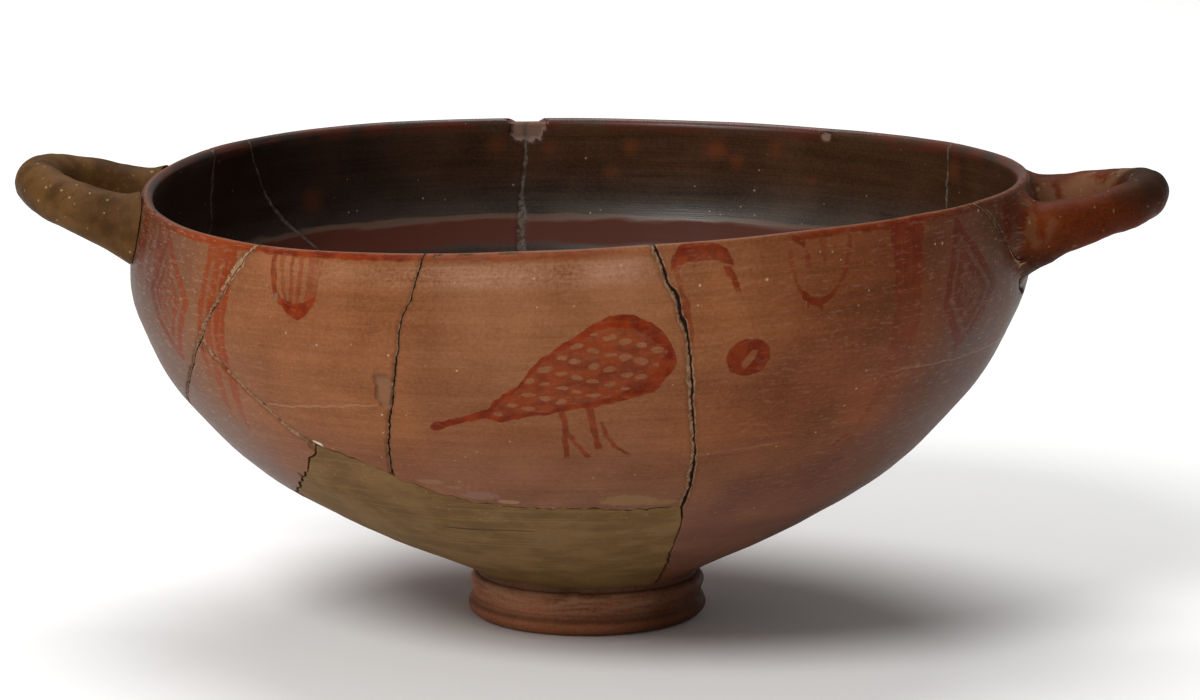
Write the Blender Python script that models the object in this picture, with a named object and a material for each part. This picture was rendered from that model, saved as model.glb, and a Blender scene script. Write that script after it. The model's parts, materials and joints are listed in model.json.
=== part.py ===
"""Kylix: a wheel-thrown, two-handled drinking cup of painted fired clay, mended and partly restored.

Metres, +Z up. The origin is the centre of the standing ring on the table, +X runs towards the
ancient handle and -Y towards the painted front. A place on the bowl's wall is written as a bearing
in degrees (0 at the front, 90 towards +X) and a share of the way up from the neck to the rim.
"""

import math

import bmesh
import bpy
from mathutils import Matrix, Vector

# Ring foot: a rounded roll on the table, a smaller band over it, then the crevice under the bowl
FOOT_RADIUS = 0.0298
ROLL_REACH = 0.0040
ROLL_RISE = 0.0031
BAND_INSET = 0.0005
BAND_ROUND = 0.0024
CREVICE = 0.0010
STANDING_WIDTH = 0.0040
HOLLOW_DEPTH = 0.0060
HOLLOW_SLOPE = 0.0040

# Bowl: outside profile, from its neck on the foot out to the belly and up to the rim
NECK_INSET = 0.0023
NECK_RADIUS = FOOT_RADIUS - NECK_INSET
NECK_HEIGHT = 2 * ROLL_RISE + 2 * BAND_ROUND + CREVICE
BELLY_HEIGHT = 0.0900
BELLY_RADIUS = 0.1118
RIM_HEIGHT = 0.1103
RIM_RADIUS = 0.1100
# The curve from neck to belly, as shares of the rise and of the widening between them
BOWL_CURVE = (
    (0.051, 0.089), (0.128, 0.245), (0.231, 0.426), (0.359, 0.612), (0.487, 0.743), (0.744, 0.924),
)

# Bowl: wall, which thins over the last stretch below the lip, and the floor's dip at its middle
WALL = 0.0044
LIP = 0.0032
LIP_BLEND = 0.0250
FLOOR_DIP = 0.0029

# The bowl sagged a little in the kiln: its rim rises and dips, and its wall leans, most low down
RIM_TILT = 0.0023
RIM_NOD = 0.0005
RIM_SADDLE = 0.0018
RIM_WAVE = 0.0005
LEAN = 0.0004
SWAY = 0.0026
SWAY_LOW = 0.7

# Handles: the pair stands on one line across the bowl, turned a little off the X axis. A reach is
# measured from the wall, a drop from the rim down to the root, and a rise from root to outer end.
HANDLE_TURN = 4.5
HANDLE_SPREAD = 0.0420
HANDLE_LEAD = 0.0045
ROOT_BURY = 0.0028
FLARE_LENGTH = 0.0060
FLARE_SIDEWAYS = 0.5
ANCIENT_REACH = 0.0329
ANCIENT_LIMB = 0.0108
ANCIENT_FLARE = 0.0095
ANCIENT_DROP = 0.0097
ANCIENT_RISE = 0.0079
RESTORED_REACH = 0.0320
RESTORED_LIMB = 0.0117
RESTORED_FLARE = 0.0075
RESTORED_DROP = 0.0105
RESTORED_RISE = 0.0082

# Plaster patch: its upper edge, from the hidden left side round to the right
PATCH_EDGE = (
    (-100, 0.031), (-94, 0.097), (-80, 0.173), (-66, 0.249), (-54, 0.314), (-47, 0.368),
    (-42, 0.427), (-39, 0.480), (-33, 0.448), (-28, 0.412), (-22, 0.368), (-16, 0.342),
    (-8, 0.330), (1, 0.326), (9, 0.319), (17.5, 0.326), (19.2, 0.277), (20.6, 0.215),
    (22.6, 0.153), (27.5, 0.086), (33, 0.041), (36, 0.025),
)
FIT_GAP = 0.0003
CUT_OVER = 0.0010

# Joins wide enough to show as open grooves, from the rim or a fork down to the patch
LEFT_JOIN = (
    (-44.8, 1.000), (-47.2, 0.946), (-49.5, 0.878), (-52.2, 0.800), (-54.5, 0.733), (-58.8, 0.649),
    (-62.8, 0.589), (-67.2, 0.541), (-76, 0.458), (-84, 0.336), (-89, 0.214),
)
LEFT_BRANCH = (
    (-53.4, 0.707), (-49.5, 0.641), (-47, 0.599), (-43.2, 0.535), (-40.2, 0.488),
)
MIDDLE_JOIN = (
    (8.2, 1.000), (10.2, 0.909), (12, 0.833), (13.2, 0.748), (14.3, 0.645), (16.2, 0.505), (17.8, 0.370),
)
JOIN_WIDTH = 0.0020
JOIN_DEPTH = 0.0010

# Flakes lost from the outside wall and from the inside of the rim: bearing, share up, height,
# width, depth and how far in from the outside wall
FLAKES = (
    (-24.6, 0.653, 0.0100, 0.0042, 0.0011, 0.0),
    (-172.9, 0.990, 0.0062, 0.0094, 0.0020, LIP),
)

# Looks: base colour and roughness of each sub-part
PAINTED_CLAY = ((0.262, 0.102, 0.048), 0.5)
TONED_PLASTER = ((0.142, 0.092, 0.034), 0.7)
HANDLE_PLASTER = ((0.130, 0.084, 0.032), 0.65)

# Fineness of the faceted surfaces, with columns in degrees of bearing
AROUND = 60
WALL_RINGS = 13
RING_CROWDING = 1.4
PATCH_ROWS = 6
COLUMN_SPACING = 6.0
LIMB_SIDES = 14
LIMB_RINGS = 17
SHARP_ANGLE = 38


def smooth_curve(stations):
    """A function through the stations that is smooth and never overshoots them."""
    xs = [station[0] for station in stations]
    ys = [station[1] for station in stations]
    slopes = [(ys[i + 1] - ys[i]) / (xs[i + 1] - xs[i]) for i in range(len(xs) - 1)]
    tangents = [slopes[0]]
    for before, after in zip(slopes, slopes[1:]):
        tangents.append(2 * before * after / (before + after) if before * after > 0 else 0.0)
    tangents.append(slopes[-1])

    def at(x):
        i = max(k for k in range(len(slopes)) if k == 0 or x >= xs[k])
        span = xs[i + 1] - xs[i]
        s = (x - xs[i]) / span
        rise = (1 + 2 * s) * (1 - s) ** 2 * ys[i] + s * s * (3 - 2 * s) * ys[i + 1]
        lean = s * (1 - s) ** 2 * tangents[i] - s * s * (1 - s) * tangents[i + 1]
        return rise + span * lean

    return at


def bowl_stations():
    """Heights and outside radii that the bowl's profile passes through."""
    rise = BELLY_HEIGHT - NECK_HEIGHT
    widening = BELLY_RADIUS - NECK_RADIUS
    curve = [(NECK_HEIGHT + h * rise, NECK_RADIUS + w * widening) for h, w in BOWL_CURVE]
    ends = [(BELLY_HEIGHT, BELLY_RADIUS), (RIM_HEIGHT, RIM_RADIUS)]
    return [(NECK_HEIGHT, NECK_RADIUS)] + curve + ends


outside_radius = smooth_curve(bowl_stations())


def wall_height(share):
    """Height of a place on the wall, given its share of the way up from neck to rim."""
    return NECK_HEIGHT + (RIM_HEIGHT - NECK_HEIGHT) * share


def wall_thickness(height):
    """The wall thins towards the lip."""
    share = min(1.0, max(0.0, (RIM_HEIGHT - height) / LIP_BLEND))
    return LIP + (WALL - LIP) * share * share * (3 - 2 * share)


def profile_point(height, outward=0.0):
    """Radius and height of a point that stands off the outside wall, along its normal."""
    step = 1e-5
    height_in = min(height, RIM_HEIGHT)
    slope = (outside_radius(height_in) - outside_radius(height_in - step)) / step
    length = math.hypot(1.0, slope)
    return outside_radius(height_in) + outward / length, height - outward * slope / length


def sag(point):
    """Move a point of the true turned form to where the fired, sagged bowl has it."""
    bearing = math.atan2(point.x, -point.y)
    up = (point.z - NECK_HEIGHT) / (RIM_HEIGHT - NECK_HEIGHT)
    up = min(1.0, max(0.0, up))
    lift = RIM_TILT * math.sin(bearing) + RIM_NOD * math.cos(bearing)
    lift += RIM_SADDLE * math.sin(2 * bearing) + RIM_WAVE * math.cos(3 * bearing)
    shift = -LEAN * up - SWAY * math.sin(math.pi * up ** SWAY_LOW)
    return Vector((point.x + shift, point.y, point.z + lift * up * up))


def wall_point(bearing, height, outward=0.0):
    """A point on the fired bowl's outside wall, or off it along its normal."""
    radius, level = profile_point(height, outward)
    angle = math.radians(bearing)
    return sag(Vector((radius * math.sin(angle), -radius * math.cos(angle), level)))


def outward_direction(bearing, height):
    """The direction square to the outside wall at a place on it."""
    return (wall_point(bearing, height, LIP) - wall_point(bearing, height)).normalized()


def clay(name, colour, roughness):
    """A plain Principled material for one sub-part."""
    material = bpy.data.materials.new(name)
    material.use_nodes = True
    shader = material.node_tree.nodes["Principled BSDF"]
    shader.inputs["Base Color"].default_value = (*colour, 1.0)
    shader.inputs["Roughness"].default_value = roughness
    shader.inputs["Metallic"].default_value = 0.0
    return material


def finish_mesh(name, work):
    """Turn a bmesh into an object whose faces all point outwards."""
    work.normal_update()
    bmesh.ops.recalc_face_normals(work, faces=work.faces)
    mesh = bpy.data.meshes.new(name)
    work.to_mesh(mesh)
    work.free()
    shape = bpy.data.objects.new(name, mesh)
    bpy.context.scene.collection.objects.link(shape)
    return shape


def loft(name, rings):
    """A closed solid through rings of points, with a flat cap on each end."""
    work = bmesh.new()
    rows = [[work.verts.new(point) for point in ring] for ring in rings]
    for lower, upper in zip(rows, rows[1:]):
        for k in range(len(lower)):
            after = (k + 1) % len(lower)
            work.faces.new((lower[k], lower[after], upper[after], upper[k]))
    work.faces.new(rows[0][::-1])
    work.faces.new(rows[-1])
    return finish_mesh(name, work)


def turned(name, profile):
    """A solid turned about Z from a profile that starts and ends on the axis."""
    work = bmesh.new()
    points = [work.verts.new((radius, 0.0, height)) for radius, height in profile]
    edges = [work.edges.new(pair) for pair in zip(points, points[1:])]
    bmesh.ops.spin(
        work, geom=points + edges, cent=(0, 0, 0), axis=(0, 0, 1), dvec=(0, 0, 0),
        angle=2 * math.pi, steps=AROUND, use_merge=True, use_duplicate=False,
    )
    bmesh.ops.remove_doubles(work, verts=work.verts, dist=1e-6)
    for vert in work.verts:
        vert.co = sag(vert.co)
    return finish_mesh(name, work)


def arc(centre, reach, rise, start, end, steps):
    """Points of a profile along an oval arc, its angles in degrees from the outward direction."""
    angles = [math.radians(start + (end - start) * k / steps) for k in range(steps + 1)]
    return [(centre[0] + reach * math.cos(a), centre[1] + rise * math.sin(a)) for a in angles]


def ring_heights():
    """Heights of the wall's rings, closer together where the bowl turns in to its neck."""
    rise = RIM_HEIGHT - LIP / 2 - NECK_HEIGHT
    return [NECK_HEIGHT + rise * (k / WALL_RINGS) ** RING_CROWDING for k in range(WALL_RINGS + 1)]


def floor_points(inner):
    """The floor inside, dipping from the wall's first two inner points to the middle."""
    (r0, h0), (r1, h1) = inner[0], inner[1]
    steepness = (h1 - h0) / (r1 - r0) * r0 / FLOOR_DIP
    return [(r0 * s, h0 - FLOOR_DIP * (1 - s ** steepness)) for s in (0.0, 0.45, 0.8)]


def lip_points(inner, outer):
    """The rounded lip, from the inner wall's top over to the outer wall's."""
    half = (outer[0] - inner[0]) / 2
    return arc((inner[0] + half, inner[1]), half, half, 180, 0, 4)[1:-1]


def foot_points():
    """The ring foot, from the crevice under the bowl down and in to the middle of its hollow."""
    band_middle = (FOOT_RADIUS - BAND_INSET - BAND_ROUND, 2 * ROLL_RISE + BAND_ROUND)
    roll_middle = (FOOT_RADIUS - ROLL_REACH, ROLL_RISE)
    band = arc(band_middle, BAND_ROUND, BAND_ROUND, 75, -35, 4)
    roll = arc(roll_middle, ROLL_REACH, ROLL_RISE, 48, -90, 6)
    inside = roll_middle[0] - STANDING_WIDTH
    ceiling = inside - HOLLOW_SLOPE
    cove = arc((ceiling, 0.0), HOLLOW_SLOPE, HOLLOW_DEPTH, 0, 90, 3)
    return band + roll + cove + [(0.0, HOLLOW_DEPTH)]


def cup_profile():
    """The turned section, from the middle of the bowl's floor round to the foot's hollow."""
    inner = [profile_point(h, -wall_thickness(h)) for h in ring_heights()]
    outer = [profile_point(h) for h in reversed(ring_heights())]
    lip = lip_points(inner[-1], outer[0])
    return floor_points(inner) + inner + lip + outer + foot_points()


def handle_rings(reach, limb, flare, drop, rise, side):
    """Rings of a rising horseshoe handle: side is 1 towards +X and -1 towards -X."""
    root_height = RIM_HEIGHT - drop
    wall = outside_radius(root_height)
    root = math.sqrt(wall ** 2 - (HANDLE_SPREAD / 2) ** 2)
    bend = root + HANDLE_LEAD
    end = wall + reach - limb / 2
    lead = [(root - ROOT_BURY, -1.0), (root, -1.0)]
    turn = [math.radians(-90 + 180 * k / (LIMB_RINGS - 1)) for k in range(LIMB_RINGS)]
    curve = [(bend + (end - bend) * math.cos(a), math.sin(a)) for a in turn]
    plan = lead + curve + [(out, 1.0) for out, _ in reversed(lead)]
    path = []
    for out, across in plan:
        share = max(0.0, (out - root) / (end - root))
        path.append(Vector((out, across * HANDLE_SPREAD / 2, root_height + rise * share)))
    frame = Matrix.Rotation(math.radians(-HANDLE_TURN), 4, "Z")
    if side < 0:
        frame = frame @ Matrix.Rotation(math.pi, 4, "Z")
    rings = []
    for k, centre in enumerate(path):
        ahead = path[min(k + 1, len(path) - 1)] - path[max(k - 1, 0)]
        across = ahead.cross(Vector((0, 0, 1))).normalized()
        over = across.cross(ahead).normalized()
        grown = flare * math.exp(-max(0.0, centre.x - root) / FLARE_LENGTH)
        tall = (limb + grown) / 2
        wide = (limb + grown * FLARE_SIDEWAYS) / 2
        ring = []
        for j in range(LIMB_SIDES):
            a = 2 * math.pi * (j + 0.5) / LIMB_SIDES
            ring.append(frame @ (centre + across * wide * math.cos(a) + over * tall * math.sin(a)))
        rings.append(ring)
    return rings


def patch_columns(spread):
    """Bearings across the patch, each with the height of its upper edge grown by spread."""
    columns = []
    edge = [(bearing, wall_height(share)) for bearing, share in PATCH_EDGE]
    for (b0, h0), (b1, h1) in zip(edge, edge[1:]):
        run = math.radians(b1 - b0) * outside_radius((h0 + h1) / 2)
        grown = spread * math.hypot(1.0, (h1 - h0) / run)
        parts = math.ceil((b1 - b0) / COLUMN_SPACING)
        for k in range(parts + 1):
            share = k / parts
            top = h0 + (h1 - h0) * share + grown
            if k == 0 and columns:
                columns[-1] = (columns[-1][0], max(columns[-1][1], top))
            else:
                columns.append((b0 + (b1 - b0) * share, top))
    for end, side in ((0, -1), (-1, 1)):
        bearing, top = columns[end]
        columns[end] = (bearing + side * math.degrees(spread / NECK_RADIUS), top)
    return columns


def patch_solid(name, spread, over):
    """The patch as a block through the wall, grown by spread at its edges and by over at its faces."""
    work = bmesh.new()
    columns = patch_columns(spread)
    low = NECK_HEIGHT + FIT_GAP - spread
    sheets = {}
    for i, (bearing, top) in enumerate(columns):
        for j in range(PATCH_ROWS + 1):
            height = low + (top - low) * j / PATCH_ROWS
            sheets["out", i, j] = work.verts.new(wall_point(bearing, height, over))
            depth = -wall_thickness(height) - over
            sheets["in", i, j] = work.verts.new(wall_point(bearing, height, depth))

    def quad(*keys):
        work.faces.new([sheets[key] for key in keys])

    last = len(columns) - 1
    for i in range(last):
        for j in range(PATCH_ROWS):
            for face in ("in", "out"):
                quad((face, i, j), (face, i + 1, j), (face, i + 1, j + 1), (face, i, j + 1))
        for j in (0, PATCH_ROWS):
            quad(("in", i, j), ("in", i + 1, j), ("out", i + 1, j), ("out", i, j))
    for j in range(PATCH_ROWS):
        for i in (0, last):
            quad(("in", i, j), ("in", i, j + 1), ("out", i, j + 1), ("out", i, j))
    return finish_mesh(name, work)


def groove_solid(name, path):
    """A V-shaped cutter along a join in the outside wall."""
    points = [(bearing, wall_height(share)) for bearing, share in path]
    if path[0][1] == 1.0:
        points.insert(0, (path[0][0], RIM_HEIGHT + 2 * LIP))
    rings = []
    for k, (bearing, height) in enumerate(points):
        here = wall_point(bearing, height)
        before = points[max(k - 1, 0)]
        after = points[min(k + 1, len(points) - 1)]
        ahead = wall_point(*after) - wall_point(*before)
        normal = outward_direction(bearing, height)
        side = ahead.cross(normal).normalized() * JOIN_WIDTH
        lift = normal * JOIN_DEPTH
        rings.append([here + lift - side, here + lift + side, here - lift])
    return loft(name, rings)


def flake_solid(name, bearing, share, tall, wide, deep, inset):
    """A lens-shaped cutter that takes a shallow flake off one face of the wall."""
    work = bmesh.new()
    bmesh.ops.create_uvsphere(work, u_segments=10, v_segments=6, radius=1.0)
    height = wall_height(share)
    here = wall_point(bearing, height, -inset)
    normal = outward_direction(bearing, height)
    upward = (here - wall_point(bearing, height - LIP, -inset)).normalized()
    sideways = upward.cross(normal).normalized()
    for vert in work.verts:
        x, y, z = vert.co
        vert.co = here + sideways * x * wide / 2 + upward * y * tall / 2 + normal * z * deep
    return finish_mesh(name, work)


def combine(shape, operation, cutters):
    """Apply exact Booleans with helper solids, which are then hidden from the model."""
    for cutter in cutters:
        cutter.hide_render = True
        cutter.display_type = "WIRE"
        step = shape.modifiers.new(f"{operation} {cutter.name}", "BOOLEAN")
        step.operation = operation
        step.solver = "EXACT"
        step.object = cutter


def wall_block(name, stand_off):
    """The bowl's outline as a full solid, grown by stand_off, for cutting what is fixed to it."""
    heights = [wall_height(k / WALL_RINGS) for k in range(WALL_RINGS + 1)]
    profile = [profile_point(h, stand_off) for h in heights]
    over_rim = RIM_HEIGHT + 4 * LIP
    profile += [(profile[-1][0], over_rim), (0.0, over_rim)]
    return turned(name, [(0.0, profile[0][1])] + profile)


def make_cup(material):
    """Bowl, ring foot and ancient handle, fired as one, with the patch's place left open."""
    cup = turned("cup", cup_profile())
    ancient = loft("ancient handle form", handle_rings(
        ANCIENT_REACH, ANCIENT_LIMB, ANCIENT_FLARE, ANCIENT_DROP, ANCIENT_RISE, 1))
    combine(cup, "UNION", [ancient])
    place = patch_solid("patch place", FIT_GAP, CUT_OVER)
    grooves = [
        groove_solid("left join groove", LEFT_JOIN),
        groove_solid("left branch groove", LEFT_BRANCH),
        groove_solid("middle join groove", MIDDLE_JOIN),
    ]
    flakes = [flake_solid(f"flake {k + 1}", *chip) for k, chip in enumerate(FLAKES)]
    combine(cup, "DIFFERENCE", [place] + grooves + flakes)
    cup.data.materials.append(material)
    return cup


def make_patch(material):
    """The plaster patch that closes the lost part of the lower wall."""
    patch = patch_solid("wall_infill", 0.0, 0.0)
    patch.data.materials.append(material)
    return patch


def make_restored_handle(material):
    """The modern handle, cut to the bowl's outside with a hairline gap."""
    handle = loft("restored_handle", handle_rings(
        RESTORED_REACH, RESTORED_LIMB, RESTORED_FLARE, RESTORED_DROP, RESTORED_RISE, -1))
    combine(handle, "DIFFERENCE", [wall_block("bowl outline", FIT_GAP)])
    handle.data.materials.append(material)
    return handle


def main():
    for old in list(bpy.data.objects):
        bpy.data.objects.remove(old)
    cup = make_cup(clay("painted clay", *PAINTED_CLAY))
    patch = make_patch(clay("toned plaster", *TONED_PLASTER))
    handle = make_restored_handle(clay("handle plaster", *HANDLE_PLASTER))
    for shape in (cup, patch, handle):
        shape.data.shade_smooth()
        shape.data.set_sharp_from_angle(angle=math.radians(SHARP_ANGLE))


main()
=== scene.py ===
# %% [markdown]
# # A mended drinking cup
#
# This lesson dresses a wide two-handled drinking cup of painted, fired clay. The cup was thrown on a
# wheel, painted with thinned clay slip, fired, broken and long afterwards glued together again. The
# plain solids come first, as a fixed frame. Each step after that adds one thing that the eye expects.

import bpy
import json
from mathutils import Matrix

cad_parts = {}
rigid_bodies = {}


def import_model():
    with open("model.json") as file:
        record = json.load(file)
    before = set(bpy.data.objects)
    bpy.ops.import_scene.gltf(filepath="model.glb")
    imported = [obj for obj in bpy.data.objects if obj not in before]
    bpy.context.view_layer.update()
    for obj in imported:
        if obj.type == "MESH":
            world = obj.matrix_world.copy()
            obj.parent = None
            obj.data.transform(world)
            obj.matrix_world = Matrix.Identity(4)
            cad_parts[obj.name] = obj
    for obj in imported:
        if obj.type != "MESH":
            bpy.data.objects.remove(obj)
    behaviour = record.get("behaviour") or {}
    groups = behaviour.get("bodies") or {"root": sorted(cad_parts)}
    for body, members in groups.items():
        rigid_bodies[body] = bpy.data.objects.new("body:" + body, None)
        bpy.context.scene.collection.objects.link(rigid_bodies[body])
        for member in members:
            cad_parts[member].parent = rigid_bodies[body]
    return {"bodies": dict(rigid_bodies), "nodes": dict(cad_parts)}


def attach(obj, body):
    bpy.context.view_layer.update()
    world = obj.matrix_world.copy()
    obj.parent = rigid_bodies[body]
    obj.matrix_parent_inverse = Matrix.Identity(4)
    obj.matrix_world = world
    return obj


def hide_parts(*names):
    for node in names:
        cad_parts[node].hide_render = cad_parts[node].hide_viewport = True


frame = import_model()
print("solids:", sorted(frame["nodes"]))

# %% [markdown]
# Python's own modules do the sums, numpy moves many points at once, and bmesh edits meshes. A new
# Blender file holds a cube, a lamp and a camera, so whatever isn't part of the frame is cleared away.
# Lengths are in metres, as in the frame. Where a drawing is easier in millimetres, a value says so.

# %% Modules, units and an empty bench
import json
import math
from functools import partialmethod

import bmesh
import bpy
import numpy as np
from mathutils import Matrix, Vector, kdtree, noise

MM = 0.001
framework = set(frame["nodes"].values()) | set(frame["bodies"].values())
for leftover in [thing for thing in bpy.data.objects if thing not in framework]:
    bpy.data.objects.remove(leftover)
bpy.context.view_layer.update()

# %% [markdown]
# ## The turned form
#
# A pot thrown on a wheel is one curve turned about an axis. The solids were made that way, but with few
# facets. We turn the same curve again with many more, so that the rim is round from close by. The
# sizes below are the solids' own. The patch's edge and the joins are written as a bearing in degrees,
# 0 at the front and 90 towards the ancient handle, with a share of the wall's height or a height in mm.

# %% Sizes of the turned form
FOOT_RADIUS = 0.0298
ROLL_REACH = 0.0040
ROLL_RISE = 0.0031
BAND_INSET = 0.0005
BAND_ROUND = 0.0024
CREVICE = 0.0010
STANDING_WIDTH = 0.0040
HOLLOW_DEPTH = 0.0060
HOLLOW_SLOPE = 0.0040
NECK_RADIUS = FOOT_RADIUS - 0.0023
NECK_HEIGHT = 2 * ROLL_RISE + 2 * BAND_ROUND + CREVICE
BELLY_HEIGHT = 0.0900
BELLY_RADIUS = 0.1118
RIM_HEIGHT = 0.1103
RIM_RADIUS = 0.1100
BOWL_CURVE = (
    (0.051, 0.089), (0.128, 0.245), (0.231, 0.426), (0.359, 0.612), (0.487, 0.743), (0.744, 0.924),
)
WALL = 0.0044
LIP = 0.0032
LIP_BLEND = 0.0250
FLOOR_DIP = 0.0029
FIT_GAP = 0.0003


def smooth_curve(stations):
    """A smooth function through the stations that never overshoots them."""
    xs, ys = (np.array(values, float) for values in zip(*stations))
    slopes = np.diff(ys) / np.diff(xs)
    middle = [2 * a * b / (a + b) if a * b > 0 else 0.0 for a, b in zip(slopes, slopes[1:])]
    tangents = np.array([slopes[0], *middle, slopes[-1]])

    def at(x):
        x = np.asarray(x, float)
        i = np.clip(np.searchsorted(xs, x, side="right") - 1, 0, len(slopes) - 1)
        span = xs[i + 1] - xs[i]
        s = (x - xs[i]) / span
        rise = (1 + 2 * s) * (1 - s) ** 2 * ys[i] + s * s * (3 - 2 * s) * ys[i + 1]
        lean = s * (1 - s) ** 2 * tangents[i] - s * s * (1 - s) * tangents[i + 1]
        return rise + span * lean

    return at


def bowl_stations():
    """Heights and outside radii that the bowl's profile passes through."""
    rise = BELLY_HEIGHT - NECK_HEIGHT
    widening = BELLY_RADIUS - NECK_RADIUS
    curve = [(NECK_HEIGHT + h * rise, NECK_RADIUS + w * widening) for h, w in BOWL_CURVE]
    return [(NECK_HEIGHT, NECK_RADIUS)] + curve + [(BELLY_HEIGHT, BELLY_RADIUS), (RIM_HEIGHT, RIM_RADIUS)]


outside_radius = smooth_curve(bowl_stations())
print("radius at the rim", float(outside_radius(RIM_HEIGHT)), "and half way up", float(outside_radius(0.055)))

# %% [markdown]
# Everything on the wall is placed by bearing, height and how far it stands off the outside. The wall
# thins towards its lip. A painted line follows the clay, so we also measure the length along the wall
# from the neck up: it is longer than the height, because the bowl flares.

# %% Places on the wall


def wall_thickness(height):
    """The wall thins over the last stretch below the lip."""
    share = np.clip((RIM_HEIGHT - height) / LIP_BLEND, 0, 1)
    return LIP + (WALL - LIP) * share * share * (3 - 2 * share)


def turned_points(bearing, radius, height):
    """Points at bearings in degrees, radii and heights."""
    bearing, radius, height = np.broadcast_arrays(bearing, radius, height)
    angle = np.radians(bearing)
    return np.stack([radius * np.sin(angle), -radius * np.cos(angle), height], axis=-1).astype(float)


def profile_point(height, outward=0.0):
    """Radius and height of points that stand off the outside wall along its normal."""
    step = 1e-5
    below = np.minimum(height, RIM_HEIGHT)
    slope = (outside_radius(below) - outside_radius(below - step)) / step
    length = np.hypot(1.0, slope)
    return outside_radius(below) + outward / length, height - outward * slope / length


def wall_points(bearing, height, outward=0.0):
    """Points of the true turned form, before it sagged."""
    radius, level = profile_point(np.asarray(height, float), outward)
    return turned_points(bearing, radius, level)


def outer_face(height):
    """How far the outside face stands off itself: nothing."""
    return 0.0 * height


def inner_face(height):
    """How far the inside face stands off the outside."""
    return -wall_thickness(height)


def tree_of(places):
    """A tree that quickly finds the nearest of some places."""
    tree = kdtree.KDTree(len(places))
    for number, spot in enumerate(places):
        tree.insert(spot, number)
    tree.balance()
    return tree


fine_heights = np.linspace(NECK_HEIGHT, RIM_HEIGHT, 2000)
fine_steps = np.hypot(np.diff(fine_heights), np.diff(outside_radius(fine_heights)))
fine_lengths = np.concatenate([[0.0], np.cumsum(fine_steps)])


def wall_length(height):
    """Length along the outside wall from the neck up to a height."""
    return np.interp(height, fine_heights, fine_lengths)


print("from the neck to the rim the wall is", round(float(fine_lengths[-1]) / MM, 1), "mm long")

# %% [markdown]
# No old cup is quite true. This one sagged a little in the kiln, so its rim rises and dips and its wall
# leans. The same small warp as in the solids is applied to every point, and undone where we need to
# know which spot of the true form a point came from.

# %% The kiln's sag
RIM_TILT = 0.0023
RIM_NOD = 0.0005
RIM_SADDLE = 0.0018
RIM_WAVE = 0.0005
LEAN = 0.0004
SWAY = 0.0026
SWAY_LOW = 0.7


def sag(points):
    """Move points of the true form to where the fired cup has them."""
    bearing = np.arctan2(points[:, 0], -points[:, 1])
    up = np.clip((points[:, 2] - NECK_HEIGHT) / (RIM_HEIGHT - NECK_HEIGHT), 0, 1)
    lift = RIM_TILT * np.sin(bearing) + RIM_NOD * np.cos(bearing)
    lift = lift + RIM_SADDLE * np.sin(2 * bearing) + RIM_WAVE * np.cos(3 * bearing)
    shift = -LEAN * up - SWAY * np.sin(math.pi * up ** SWAY_LOW)
    return points + np.stack([shift, np.zeros_like(shift), lift * up * up], axis=1)


def unsag(points):
    """The true form's points that sagged to these, found by a few corrections."""
    guess = points.copy()
    for _ in range(5):
        guess += points - sag(guess)
    return guess


probe = wall_points(np.array([0.0, 90.0, -90.0]), RIM_HEIGHT)
print("the sag moves the rim by", np.round((sag(probe) - probe) / MM, 2).tolist(), "mm")

# %% [markdown]
# ## Where the wall is lost
#
# A sherd of the lower wall is lost, and plaster fills its place. The opening's upper edge is one line
# from the hidden left round to the right. Broken clay is never straight, so a little noise runs along it.

# %% The edge of the opening
PATCH_EDGE = (
    (-103, 0.0), (-100, 0.031), (-94, 0.097), (-80, 0.173), (-66, 0.249), (-54, 0.314), (-47, 0.368),
    (-42, 0.427), (-39, 0.480), (-33, 0.448), (-28, 0.412), (-22, 0.368), (-16, 0.342),
    (-8, 0.330), (1, 0.326), (9, 0.319), (17.5, 0.326), (19.2, 0.277), (20.6, 0.215),
    (22.6, 0.153), (27.5, 0.086), (33, 0.041), (36, 0.025), (38, 0.0),
)
EDGE_ROUGHNESS = 0.0005


def ragged(values, spacing, seed):
    """Smooth random numbers from about -1 to 1 along a line, the same in each run."""
    return np.array([noise.noise(Vector((v / spacing, seed, 0.5))) for v in np.atleast_1d(values)]) * 1.6


def opening_edge(bearing):
    """Height of the opening's upper edge at each bearing, and the neck's height beside it."""
    angles, shares = zip(*PATCH_EDGE)
    share = np.interp(bearing, angles, shares)
    rough = ragged(bearing, 1.3, 3.0) + 0.6 * ragged(bearing, 0.5, 7.0)
    straight = NECK_HEIGHT + (RIM_HEIGHT - NECK_HEIGHT) * share
    return straight + EDGE_ROUGHNESS * rough * np.minimum(1, share * 8)


print("the opening reaches up to", round(float(opening_edge(-39.0).max()) / MM, 1), "mm")

# %% [markdown]
# ## A skin of rings
#
# To build the bowl by hand we lay rings of points on top of each other and stretch quads between them.
# A small helper keeps the points, the faces and which finish each face wears. The rings run from the
# middle of the floor up inside, over the lip, down outside, round the foot and back under it. In front
# of the opening the ring that meets the neck splits in two, so the plaster's place is a real hole.

# %% A helper that collects rings and faces
AROUND = 340
SEAM = -195.0
BEARINGS = SEAM + np.arange(AROUND) * 360.0 / AROUND
OUTSIDE, INSIDE, FOOT, HANDLE = range(4)


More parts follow.
